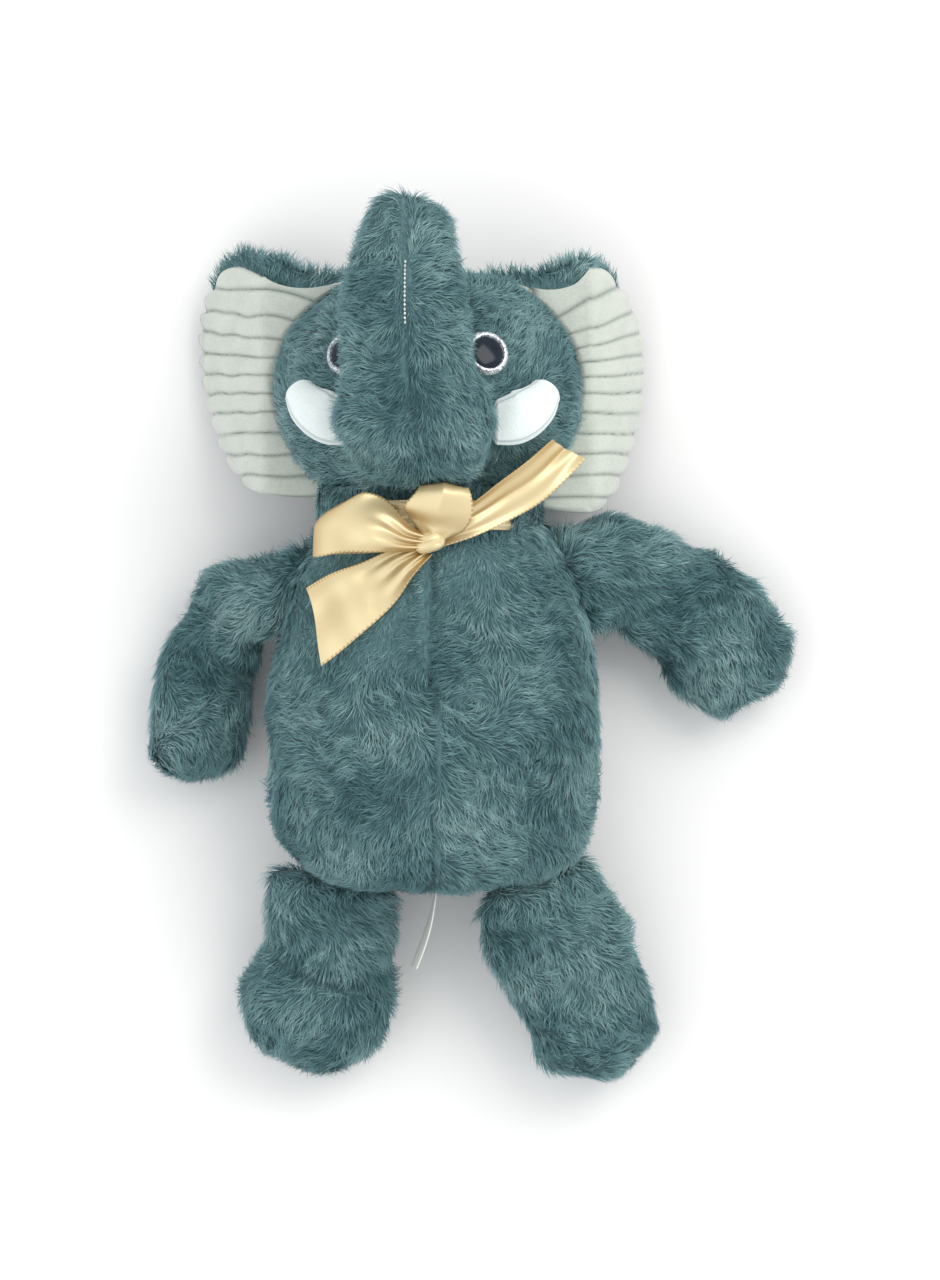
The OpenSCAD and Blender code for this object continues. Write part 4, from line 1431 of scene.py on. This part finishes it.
@dataclass
class Tusk:
    """A stubby padded crescent of short white plush, sewn to the face beside the trunk."""

    finishes: Finishes
    head: Head
    side: Side
    width: float = 24.0
    thick: float = 13.0

    def path(self) -> LimbPath:
        """The tusk's path over the cheek.

        Returns:
            The path.
        """
        rows = []
        for out, y, half_w, half_t in (
            (0.24, -17, 0.42, 0.34),
            (0.30, -15, 0.48, 0.5),
            (0.355, -10, 0.42, 0.5),
            (0.39, -4, 0.30, 0.42),
        ):
            x = self.head.face_x + self.side.value * out * self.head.width
            place = self.head.middle_y + y
            z = self.head.face_z(x, place) + half_t * self.thick - 2.0
            rows.append([x, place, z, half_w * self.width, half_t * self.thick])
        return LimbPath(np.array(rows), (0, 1, 0), 3.0, 0.2 * self.width)

    def build(self) -> None:
        """Builds the padded crescent, with the seam pressed in just inside its edge."""
        word = self.side.word
        grid = self.path().bag(rows=40, dome_rows=16, columns=96)
        bag = Bag(f"{word}_tusk", grid, [f"{word}_tusk_{p}" for p in ("front", "back", "stuffing")])
        a = 2 * np.pi * np.arange(grid.shape[1]) / grid.shape[1]
        rows = grid.shape[0]
        tip = np.arange(rows)[:, None] / (rows - 1)
        edge = np.abs(np.cos(a)) ** 2 + ease((tip - 0.86) / 0.14)
        groove = np.exp(-(((edge - 0.8) / 0.1) ** 2)) * (np.sin(a) > -0.2)
        bag.press(0.75 * groove)
        faces, _ = bag_faces(*bag.grid.shape[:2])
        points = bag_points(bag.grid)
        # Painted shade: the nap is darker along the pressed seam.
        field = np.concatenate([[0.0], (groove * 0.75)[1:-1].ravel(), [0.0]])
        piece = make_piece(
            bag.name,
            PLAN.place(points),
            outward(points, faces),
            self.finishes.tusk,
            fields={"channel": field},
        )
        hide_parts(*bag.stands_for)
        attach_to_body(piece, "head")


@dataclass
class Ear:
    """A cupped ear: a furry back and a ribbed lining, sewn together round the rim."""

    finishes: Finishes
    head: Head
    side: Side
    reach: float = 26.0
    length: float = 108.0
    rib_mm: float = 9.4
    rib_height: float = 1.5

    @property
    def low_y(self) -> float:
        """Y of the lowest point of the ear."""
        return self.head.middle_y - 0.46 * self.length

    def sheet(self, rim: np.ndarray, rows: int, columns: int, under: float) -> np.ndarray:
        """The ear's middle sheet: straight lines from the cheek to the rim, cupped in height.

        Height falls from the root to the rim as (distance past the cheek / reach)^1.15.

        Args:
            rim: Rim keys as distance past the cheek and share of the ear's length.
            rows: Steps up the ear.
            columns: Steps from the cheek to the rim.
            under: How far the sheet starts under the cheek, in millimetres.

        Returns:
            A grid of points.
        """
        f = np.linspace(0, 1, rows + 1)
        s = np.linspace(0, 1, columns + 1)[None, :, None]
        keys = along(rim, f)
        outer = np.stack([keys[:, 0] * self.reach, self.low_y + keys[:, 1] * self.length], -1)
        y = self.low_y + self.length * (0.03 + 0.89 * f)
        root = np.stack([self.head.half_width(y) - self.head.width / 2 - under, y], -1)
        spot = root[:, None] * (1 - s) + outer[:, None] * s
        past = np.clip(spot[..., 0] / self.reach, 0, 1)
        x = self.side.value * (spot[..., 0] + self.head.width / 2 + 2.6) + self.head.face_x / 2
        root_z, rim_z = self.head.middle_z - 3.0, 10.5
        return np.stack([x, spot[..., 1], root_z + (rim_z - root_z) * past**1.15], -1)

    def normals(self, sheet: np.ndarray) -> np.ndarray:
        """Normals of the sheet that point up."""
        n = unit(np.cross(np.gradient(sheet, axis=0), np.gradient(sheet, axis=1)))
        return n * np.sign(n[..., 2:].mean())

    @property
    def rim(self) -> np.ndarray:
        """Keys of the rim: share of the reach past the cheek line, and of the ear's length.

        Returns:
            One row per key.
        """
        if self.side is Side.LEFT:
            keys = [[-0.9, 0.0], [0.05, 0.02], [0.62, 0.15], [0.98, 0.38], [1.14, 0.62], [1.05, 0.82]]
            top = [[0.68, 0.98], [0.2, 1.0], [-0.2, 0.97], [-0.55, 0.92]]
        else:
            keys = [[-0.9, -0.03], [0.12, -0.04], [0.58, 0.12], [0.92, 0.42], [0.9, 0.68], [0.6, 0.85]]
            top = [[0.28, 0.94], [-0.12, 0.98], [-0.55, 0.92]]
        return np.array(keys + top)

    @property
    def lining_rim(self) -> np.ndarray:
        """The rim's keys, lower at the top, where the furry back folds over.

        Returns:
            One row per key.
        """
        keys = self.rim.copy()
        if self.side is Side.LEFT:
            low = [[0.6, 0.965], [0.2, 0.93], [-0.15, 0.885], [-0.55, 0.84]]
        else:
            low = [[0.1, 0.95], [-0.15, 0.89], [-0.5, 0.82]]
        keys[-len(low) :] = low
        return keys

    def build_lining(self) -> None:
        """Builds the lining: ribs that run out to a scalloped rim, with sewn channels between, painted darker
        as painted shade.

        A rib's height is |cos(pi line / rib)| with its foot steepened, where line is Y plus a
        slant that grows towards the top and towards the cheek.
        """
        rows, columns = 220, 44
        sheet = self.sheet(self.lining_rim, rows, columns, 4.0)
        n = self.normals(sheet)
        s = np.linspace(0, 1, columns + 1)[None]
        f = np.linspace(0, 1, rows + 1)[:, None]
        steep = 0.25 if self.side is Side.LEFT else 0.5
        slant = steep * ease((sheet[..., 1] - self.head.middle_y + 12) / 45)
        wobble = 0.35 * Swell(61 + self.side.value, 26.0).value(sheet)
        line = sheet[..., 1] + slant * (1 - s) * 30 + wobble
        wave = np.abs(np.cos(np.pi * line / self.rib_mm))
        rib = np.minimum(1, wave * 1.9) ** 0.6
        edge = np.minimum(np.minimum(f, 1 - f) * 26, np.minimum((1 - s) * 9, s * 8 + 0.3))
        puff = np.sqrt(np.clip(edge, 0, 1))
        top = sheet + n * (puff * (2.6 + self.rib_height * (rib - 0.4)))[..., None]
        out = unit(sheet[:, -1:] - sheet[:, -2:-1])
        push = ((wave - 0.6) * 3.2 + 0.6) * s**6
        top = top + out * push[..., None]
        bottom = sheet + n * 0.2 + out * push[..., None] * 0.8
        points, faces = slab(top, bottom)
        # Painted shade: the lining is darker in the sewn channels between ribs.
        field = np.concatenate([np.clip((1 - rib) ** 1.6, 0, 1).ravel(), np.zeros(sheet[..., 0].size)])
        piece = make_piece(
            f"{self.side.word}_ear_ribbed_lining",
            PLAN.place(points),
            faces,
            self.finishes.lining,
            fields={"channel": field},
        )
        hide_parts(f"{self.side.word}_ear_lining")
        self.join(piece)

    def join(self, piece: bpy.types.Object) -> None:
        """Passes a piece of the ear to attach, with places at the cheek and at the ear's body; the piece is
        not bent.

        Args:
            piece: The piece.
        """
        out = self.side.value
        x = out * (self.head.width / 2 + 1.0) + self.head.face_x / 2
        y, z = self.head.middle_y, self.head.middle_z
        start, end = np.array([x - out * 5, y, z]), np.array([x + out * 5, y, z])
        attach(piece, start, end)

    def build_back(self) -> None:
        """Builds the furry back: a thin padded slab, and pile that folds over its top rim."""
        sheet = self.sheet(self.rim, 90, 36, 5.0)
        n = self.normals(sheet)
        pull = unit(sheet[:, -1:] - sheet[:, -2:-1]) * (np.linspace(0, 1, 37) ** 4)[None, :, None]
        upper = ease((sheet[..., 1:2] - self.low_y - 0.84 * self.length) / 8)
        sheet = sheet - pull * 2.2 * (1 - upper)
        points, faces = slab(sheet + n * 0.1, sheet - n * 1.6)
        word = self.side.word
        piece = make_piece(f"{word}_ear_backing", PLAN.place(points), faces, self.finishes.backing)
        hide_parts(f"{word}_ear_fur")
        self.join(piece)
        fur = Fur(401 + self.side.value)
        coat = Coat(length=7.5, per_mm2=1.1, lift=0.32, clump=1.2, width=0.58)
        p, normal = fur.roots(sheet - n * 1.6, -n, np.ones((90, 36)), coat.per_mm2)
        count = len(p)
        above = cells(upper[..., 0])
        q, top_normal = fur.roots(sheet + n * 0.1, n, above * 1.1, coat.per_mm2)
        p, normal = np.concatenate([p, q]), np.concatenate([normal, top_normal])
        cheek = self.side.value * (self.head.width / 2 - 4) + self.head.face_x / 2
        middle = np.array([cheek, self.head.middle_y + 4, 30.0])
        away = unit(p - middle)
        rim_gap = np.minimum(1, np.abs(p[:, 0] - middle[0]) / (self.reach + 4))
        high = ease((p[:, 1] - self.low_y - 0.86 * self.length) / 10)
        length = np.where(np.arange(count + len(q)) < count, 1 - 0.45 * rim_gap * (1 - high), 0.9)
        nap = away * (0.25 + 0.75 * high[:, None]) + np.array([0.0, 0.45, -0.4]) * (1 - 0.6 * high[:, None])
        pelt = fur.grow(f"{word}_ear_pelt", p, normal, nap, coat, self.finishes.pile, 0.3, length)
        self.join(pelt)

    def build(self) -> None:
        """Builds both layers."""
        self.build_back()
        self.build_lining()


@dataclass
class Limb:
    """An arm or a leg: one stuffed bag, bent where it is sewn to the torso."""

    finishes: Finishes
    name: str
    path: LimbPath
    joint_start: np.ndarray
    joint_end: np.ndarray
    seed: int
    creases: tuple[tuple[float, float, float], ...] = ()
    nap_lean: tuple[float, float, float] = (0.0, 0.0, 0.0)

    def build(self) -> None:
        """Builds the backing with its creases, and its pelt combed towards the tip."""
        grid = self.path.bag()
        bag = Bag(f"{self.name}_backing", grid, [f"{self.name}_{p}" for p in ("front", "back", "stuffing")])
        bag.pad(self.seed, 1.1, 30.0)
        f = np.linspace(0, 1, grid.shape[0])[:, None]
        turn = np.arange(grid.shape[1])[None] / grid.shape[1]
        depth = np.zeros(grid.shape[:2])
        for place, slant, deep in self.creases:
            line = f - place - slant * (turn - 0.25)
            depth += deep * np.exp(-((line / 0.035) ** 2)) * ease(1 - np.abs(turn - 0.25) * 4)
        bag.press(depth)
        attach(bag.cover(self.finishes.backing), self.joint_start, self.joint_end)
        fur = Fur(self.seed * 10)
        coat = Coat()
        patch, normals = bag.patch(0.0, 1.0)
        share = np.where(cells(patch)[..., 2] < FLOOR_PRESS + 1, 0.6, 1.0)
        share = np.where(normals[:-1, :-1, 2] < -0.3, share * 0.7, share)
        p, normal = fur.roots(patch, normals, share, coat.per_mm2)
        _, forward, _, _ = self.path.frames(np.linspace(0, 1, 40))
        centres = along(self.path.keys, np.linspace(0, 1, 40))[:, :3]
        nearest = ((p[:, None] - centres[None]) ** 2).sum(-1).argmin(1)
        nap = forward[nearest] + np.array(self.nap_lean) + 0.35 * normal
        piece = fur.grow(f"{self.name}_pelt", p, normal, nap, coat, self.finishes.pile, 0.6)
        attach(piece, self.joint_start, self.joint_end)


# Keys of a limb: distance out from its root, distance down, half width and half thickness.
LimbRows = tuple[tuple[float, float, float, float], ...]


@dataclass
class Limbs:
    """Both arms and both legs, with the sizes and places of the CAD design."""

    finishes: Finishes
    torso: Torso
    arm_width: float = 42.0
    hand: float = 46.0
    arm_thick: float = 40.0
    arm_drop: float = 34.0
    leg_width: float = 54.0
    foot: float = 60.0
    leg_thick: float = 50.0
    leg_spread: float = 45.0
    root_out: float = 2.4
    sunk: float = 7.0

    def arm(self, side: Side, rows: LimbRows, tip: float) -> Limb:
        """An arm, whose root stands for the seam at the torso's side.

        Args:
            side: Which arm.
            rows: Its keys.
            tip: Length of the dome at the hand.

        Returns:
            The arm.
        """
        y = NECK_Y - self.arm_drop
        sign = side.value
        root = np.array([sign * (self.torso.half_width(y) + self.root_out), y, self.torso.middle_z])
        lean = math.atan((self.torso.half_width(y - 4) - self.torso.half_width(y + 4)) / 8)
        keys = []
        for out, down, wide, thick in rows:
            sink = float(ease(np.array(math.hypot(out, down) / 45)))
            z = root[2] * (1 - sink) + (self.arm_thick / 2 + 1) * sink
            keys.append([root[0] + sign * out, root[1] - down, z, wide + 0.2, thick - 0.8 * PILE])
        start, end = root - np.array([sign * 3, 0, 0]), root + np.array([sign * 14.0, 0, 0])
        path = LimbPath(np.array(keys), (-sign * math.sin(lean), math.cos(lean), 0), self.sunk, tip)
        return Limb(self.finishes, f"{side.word}_arm", path, start, end, 51 + sign)

    def leg(self, side: Side, rows: LimbRows, lean: float, tip: float) -> Limb:
        """A leg, whose root stands for the seam at the seat.

        Args:
            side: Which leg.
            rows: Its keys.
            lean: How far the seam turns outwards, in degrees.
            tip: Length of the dome at the foot.

        Returns:
            The leg.
        """
        sign = side.value
        seat = self.torso.seat_y(self.leg_spread) - self.root_out
        root = np.array([sign * self.leg_spread, seat, self.torso.middle_z])
        keys = []
        for out, down, wide, thick in rows:
            sink = float(ease(np.array(down / 45)))
            z = root[2] * (1 - sink) + (self.leg_thick / 2 + 1) * sink
            keys.append([root[0] + sign * out, root[1] - down, z, wide + 0.2, thick - 0.8 * PILE])
        start, end = root + np.array([0, 3.0, 0]), root - np.array([0, 14.0, 0])
        angle = math.radians(lean)
        path = LimbPath(np.array(keys), (math.cos(angle), sign * math.sin(angle), 0), self.sunk, tip)
        return Limb(self.finishes, f"{side.word}_leg", path, start, end, 71 + sign)

    def build(self) -> None:
        """Builds the four limbs."""
        w, h, t = self.arm_width, self.hand, self.arm_thick / 2
        left = self.arm(
            Side.LEFT,
            (
                (0.6, -0.2, w / 2, 13.0),
                (17, 5, 0.47 * w, 15.0),
                (31, 22, 0.45 * w, 0.9 * t),
                (39, 44, 0.43 * h, t),
                (42, 68, 0.42 * h, 0.95 * t),
            ),
            0.34 * h - 2,
        )
        right = self.arm(
            Side.RIGHT,
            (
                (0.6, -7.0, w / 2 + 3, 14.0),
                (18, -10.0, 0.56 * w, 15.0),
                (38, 1, 0.55 * w, 0.9 * t),
                (58, 13, 0.56 * h, t),
                (70, 29, 0.58 * h, 0.95 * t),
            ),
            0.46 * h - 2,
        )
        w, h, t = self.leg_width, self.foot, self.leg_thick / 2
        left_leg = self.leg(
            Side.LEFT,
            (
                (0, 0.6, w / 2, 15.0),
                (-1, 20, 0.49 * w, 18.0),
                (3, 38, 0.49 * h, 0.95 * t),
                (9, 54, 0.53 * h, t),
            ),
            11.0,
            0.42 * h - 2,
        )
        left_leg.creases = ((0.52, -0.25, 3.0),)
        right_leg = self.leg(
            Side.RIGHT,
            (
                (0, 0.6, w / 2, 15.0),
                (10, 21, 0.52 * w, 18.0),
                (20, 42, 0.48 * h, 0.95 * t),
                (27, 62, 0.46 * h, t),
            ),
            24.0,
            0.38 * h - 2,
        )
        right_leg.creases = ((0.4, 0.2, 2.4),)
        right_leg.nap_lean = (0.5, 0.0, 0.0)
        for limb in (left, right, left_leg, right_leg):
            limb.build()


@dataclass(frozen=True)
class Fold:
    """How a stretch of ribbon folds, in millimetres, apart from shorten, a share."""

    pleat: float = 1.5
    bow: float = 1.0
    crease: float = 0.0
    wave: float = 1.0
    shorten: float = 0.0


@dataclass
class Bow:
    """A satin ribbon tied round the neck, with two loops, two tails and a wrapped knot."""

    finishes: Finishes
    torso: Torso
    head: Head
    width: float = 25.0
    band: float = 13.0
    cloth: float = 0.4

    @property
    def knot(self) -> np.ndarray:
        """Middle of the knot."""
        return np.array([-1.0, -7.0, max(self.torso.height - 2, self.head.height - 12)])

    def ribbon(
        self,
        name: str,
        node: str,
        rows: list[tuple[tuple[float, float, float], tuple[float, float, float], float]],
        fold: Fold,
    ) -> None:
        """A ribbon swept along rows of place, way across and share of the full width.

        Across it, v runs from -1 to 1, and the cloth's height is 2 pleat (1 - share) cos(3 pi v)
        + bow (1 - v^2) + crease (1 - |v|) + wave times a smooth random field. The edge at v = 1
        is drawn in towards the knot by shorten v^2 of its distance.

        Args:
            name: The piece's name.
            node: The CAD node it stands for.
            rows: Keys of the path.
            fold: How the cloth folds.
        """
        f = np.linspace(0, 1, 121)
        columns = (np.array([np.atleast_1d(row[k]) for row in rows], float) for k in range(3))
        place, across, share = (along(column, f) for column in columns)
        across = unit(across)
        forward = unit(np.gradient(place, axis=0))
        normal = unit(np.cross(across, forward))
        v = np.linspace(-1, 1, 41)[None, :, None]
        tight = np.clip(1 - share, 0, 1)[:, None]
        field = Swell(len(name) + 80, 42.0)
        flat = self.knot + place[:, None] + across[:, None] * (self.width / 2 * share[:, None] * v)
        height = fold.pleat * tight * 2 * np.cos(3 * np.pi * v) + fold.bow * (1 - v * v)
        height = height + fold.crease * (1 - np.abs(v)) + fold.wave * field.value(flat)[..., None]
        height = height * np.abs(normal[:, 2:])[:, None]
        pull = 1 - fold.shorten * np.maximum(0, v) ** 2
        sheet = self.knot + place[:, None] * np.concatenate([pull, 0 * pull + 1, 0 * pull + 1], -1)
        sheet = sheet + across[:, None] * (self.width / 2 * share[:, None] * v) + normal[:, None] * height
        facing = unit(np.cross(np.gradient(sheet, axis=1), np.gradient(sheet, axis=0)))
        points, faces = slab(sheet + facing * self.cloth / 2, sheet - facing * self.cloth / 2)
        run = np.concatenate([[0], np.cumsum(np.linalg.norm(np.diff(place, axis=0), axis=1))])
        spots = np.broadcast_arrays(run[:, None] / 100, v[..., 0] * self.width / 200)
        spots = np.stack(spots, -1).reshape(-1, 2)
        spots = np.concatenate([spots, spots])
        edge = np.broadcast_to(np.abs(v[..., 0]), (len(f), v.shape[1])).ravel()
        # Painted shade: cloth that stands on edge is darker.
        lean = np.clip(1.5 * (1 - np.abs(facing[..., 2])), 0, 1).ravel()
        piece = make_piece(
            name,
            PLAN.place(points),
            faces,
            self.finishes.satin,
            [spots[q] for q in faces],
            fields={"edge": np.concatenate([edge, edge]), "lean": np.concatenate([lean, lean])},
        )
        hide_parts(node)
        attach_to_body(piece, "torso")

    def build_knot(self) -> None:
        """The wrapped knot: a rounded bag whose height has pleats as 1 + 0.06 cos(2.3 y)."""
        grid = egg((4.6, -4.6), (14.0, 14.0), (4.4, 4.4), (0.0, 100.0), 0.6, 60, 72)
        grid = grid - np.array([0, 0, 100.0])
        wrap = 1 + 0.06 * np.cos(2.3 * grid[..., 1] + 0.12 * grid[..., 0]) + 0.03 * np.cos(5.1 * grid[..., 1])
        grid[..., 2] *= wrap
        turn = math.radians(16)
        x, y = grid[..., 0].copy(), grid[..., 1].copy()
        grid[..., 0] = x * math.cos(turn) - y * math.sin(turn)
        grid[..., 1] = x * math.sin(turn) + y * math.cos(turn)
        grid = grid + self.knot + np.array([0.0, 0.5, 1.5])
        faces, _ = bag_faces(*grid.shape[:2])
        points = bag_points(grid)
        faces = outward(points, faces)
        local = (points - self.knot)[:, :2] / 100
        piece = make_piece(
            "bow_wrapped_knot",
            PLAN.place(points),
            faces,
            self.finishes.satin,
            [local[f] for f in faces],
            fields={"edge": np.zeros(len(points))},
        )
        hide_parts("bow_knot")
        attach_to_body(piece, "torso")

    def build_band(self) -> None:
        """The band round the neck: an oval loop of gathered ribbon, with pleats along it."""
        count, columns = 160, 21
        a = np.linspace(0, 2 * np.pi, count, endpoint=False)[:, None]
        v = np.linspace(-1, 1, columns)[None]
        hinge_z = (self.torso.middle_z + self.head.middle_z) / 2
        half_w = 0.28 * self.torso.shoulders
        rise, fall = self.knot[2] - hinge_z - 1, hinge_z - 3
        grow = 1.0 + 3.2 * np.abs(np.cos(a)) + 0.5 * np.cos(3 * np.pi * v) + 0.4 * np.sin(7 * a) * v
        up = np.where(np.sin(a) > 0, rise, fall)
        middle_y = NECK_Y + self.band / 2 - 6.5
        ring = np.stack(
            [
                (half_w + grow) * np.cos(a),
                middle_y + v * self.band / 2 + 0 * a,
                hinge_z + (up + grow) * np.sin(a),
            ],
            -1,
        )
        inner = ring - np.stack([np.cos(a) + 0 * v, 0 * a + 0 * v, np.sin(a) + 0 * v], -1) * self.cloth
        n = count * columns
        index = np.arange(n).reshape(count, columns)
        after = np.roll(index, -1, 0)
        skin = np.stack([index[:, :-1], index[:, 1:], after[:, 1:], after[:, :-1]], -1).reshape(-1, 4)
        rims = []
        for c, order in ((0, 1), (columns - 1, -1)):
            rim = np.stack([after[:, c], index[:, c], index[:, c] + n, after[:, c] + n], 1)
            rims.append(rim[:, ::order])
        points = np.concatenate([ring.reshape(-1, 3), inner.reshape(-1, 3)])
        faces = outward(points, [np.concatenate([skin, skin[:, ::-1] + n, *rims])])
        run = a / (2 * np.pi) * 3.2
        spots = np.stack(np.broadcast_arrays(run, v * self.width / 200), -1).reshape(-1, 2)
        spots = np.concatenate([spots, spots])
        edge = np.broadcast_to(np.abs(v), (count, columns)).ravel()
        piece = make_piece(
            "neck_band",
            PLAN.place(points),
            faces,
            self.finishes.satin,
            [spots[q] for q in faces],
            fields={"edge": np.concatenate([edge, edge])},
        )
        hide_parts("neck_ribbon")
        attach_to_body(piece, "torso")

    def build(self) -> None:
        """Builds the band, the knot, both loops and both tails."""
        self.build_band()
        self.build_knot()
        way = (0.08, 1.0, 0.0)
        self.ribbon(
            "left_loop_ribbon",
            "bow_left_loop",
            [
                ((-3, 0.5, 2), way, 0.3),
                ((-12, 2, 4), way, 0.46),
                ((-24, 7, 6), way, 0.88),
                ((-37, 9, 5), way, 1.06),
                ((-47, 6.5, 2), way, 1.0),
                ((-50, 6, -3), way, 0.95),
                ((-45, 7.5, -7), way, 1.0),
                ((-30, 8, -8), way, 1.0),
                ((-14, 4, -5), way, 0.6),
                ((-3, 1, -2), way, 0.35),
            ],
            Fold(pleat=0.9, bow=3.0, wave=2.2, shorten=0.24),
        )
        self.ribbon(
            "upper_loop_ribbon",
            "bow_upper_loop",
            [
                ((1.5, 2, -1), (1, -0.25, 0), 0.4),
                ((3, 8, 2.5), (1, -0.25, 0), 0.95),
                ((4, 14, 7.5), (1, -0.12, 0), 1.2),
                ((6, 21, 9.5), (1, -0.05, 0), 1.0),
                ((6.5, 24.6, 7.5), (1, -0.05, 0), 0.86),
                ((5, 21, 4), (1, -0.05, 0), 0.9),
                ((3.5, 14, 0), (1, -0.12, 0), 1.1),
                ((2, 8, -1), (1, -0.25, 0), 0.8),
                ((1.5, 3, -2), (1, -0.25, 0), 0.4),
            ],
            Fold(pleat=0.5, bow=0.6, crease=4.2, wave=0.5),
        )
        self.ribbon(
            "left_tail_ribbon",
            "bow_left_tail",
            [
                ((-2, -3, -1.5), (0.75, -0.66, 0), 0.3),
                ((-12, -8.5, 0.5), (0.7, -0.71, 0), 0.6),
                ((-22.7, -17.5, 0), (0.62, -0.78, 0), 0.92),
                ((-37, -27, -1.5), (0.4, -0.92, 0), 1.2),
                ((-51.3, -36.8, -6), (0.21, -0.977, 0), 1.4),
            ],
            Fold(pleat=0.9, bow=2.0, wave=2.8),
        )
        self.ribbon(
            "right_tail_ribbon",
            "bow_right_tail",
            [
                ((4, 3, -1), (-0.4, 0.75, 0.35), 0.42),
                ((18, 10.5, -2), (-0.45, 0.72, 0.45), 0.62),
                ((31, 17.5, -5), (-0.48, 0.65, 0.5), 0.78),
                ((45, 27, -9), (-0.5, 0.6, 0.5), 0.85),
                ((61.5, 41.7, -16), (-0.8, 0.45, 0.35), 0.72),
            ],
            Fold(pleat=0.8, bow=0.4, crease=3.2, wave=1.2),
        )


@dataclass
class CareLabel:
    """A blank white tape sewn into the seat seam; the real tape is folded once, but it is drawn as one curled
    strip.
    """

    finishes: Finishes
    torso: Torso
    length: float = 36.0
    width: float = 20.0
    thick: float = 0.5

    def build(self) -> None:
        """The tape curls gently: it stands off its straight line by 1.4 sin(pi t) mm."""
        root = np.array([2.0, self.torso.seat_y(2.0) + 2.0, self.torso.middle_z - 6])
        angle = math.radians(-107)
        ahead = np.array([math.cos(angle), math.sin(angle), 0])
        aside = np.array([-math.sin(angle), math.cos(angle), 0])
        t = np.linspace(0, 1, 61)[:, None, None]
        v = np.linspace(0, 1, 25)[None, :, None]
        curl = 1.4 * np.sin(np.pi * t) * (0.4 + 0.6 * v) - 0.8 * t * t
        sheet = root + ahead * self.length * t + aside * (curl + 2.6 * v * t)
        sheet = sheet + np.array([0, 0, self.width]) * v
        points, faces = slab(sheet + aside * self.thick / 2, sheet - aside * self.thick / 2)
        piece = make_piece("blank_care_label", PLAN.place(points), faces, self.finishes.tape)
        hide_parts("care_label")
        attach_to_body(piece, "torso")


@dataclass
class Studio:
    """A pale floor, soft light from the upper right, and a camera straight above."""

    view_height: float = 0.5677
    distance: float = 4.0
    plane_z: float = 0.05
    floor_half: float = 6.0
    surround: float = 0.95

    def build(self) -> None:
        """Builds floor, lights, camera and surroundings."""
        scene = bpy.context.scene
        half = self.floor_half
        corners = np.array([[-half, -half, 0], [half, -half, 0], [half, half, 0], [-half, half, 0]], float)
        paper = {"Base Color": linear("#f7f7f7"), "Roughness": 0.9, "Specular IOR Level": 0.1}
        material = Recipe("white_paper").finish(paper)
        floor = make_piece("floor", corners, [np.array([[0, 1, 2, 3]])], material)
        for name, place, size, power, colour in (
            ("key", (1.0, 0.9, 1.7), 1.2, 15.0, "#fffdf8"),
            ("fill", (-1.2, -0.3, 1.8), 1.8, 6.0, "#f4faff"),
        ):
            lamp = bpy.data.lights.new(name, "AREA")
            lamp.size, lamp.energy, lamp.color = size, power, linear(colour)[:3]
            holder = bpy.data.objects.new(name, lamp)
            holder.location = place
            holder.rotation_mode = "QUATERNION"
            holder.rotation_quaternion = holder.location.to_track_quat("Z", "Y")
            scene.collection.objects.link(holder)
        world = bpy.data.worlds.new("studio")
        world.use_nodes = True
        world.node_tree.nodes["Background"].inputs[0].default_value = (1, 1, 1, 1)
        world.node_tree.nodes["Background"].inputs[1].default_value = self.surround
        scene.world = world
        scene.view_settings.view_transform = "Standard"
        lens = bpy.data.cameras.new("camera")
        lens.sensor_width = 36.0
        lens.lens = lens.sensor_width * (self.distance - self.plane_z) / self.view_height
        lens.clip_end = 20.0
        camera = bpy.data.objects.new("camera", lens)
        camera.location = (0, 0, self.distance)
        scene.collection.objects.link(camera)
        scene.camera = camera


def main() -> None:
    """Builds the toy's sub-assemblies in order, then the studio."""
    logging.basicConfig(level=logging.INFO, format="%(name)s: %(message)s")
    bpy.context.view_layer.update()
    finishes = Finishes()
    torso = Torso(finishes)
    head = Head(finishes, torso)
    torso.build()
    head.build()
    for side in Side:
        Tusk(finishes, head, side).build()
        Ear(finishes, head, side).build()
    Limbs(finishes, torso).build()
    Bow(finishes, torso, head).build()
    CareLabel(finishes, torso).build()
    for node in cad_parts:
        if node.endswith("_thread"):
            dress(node, finishes.thread)
    Studio().build()


if __name__ == "__main__":
    main()
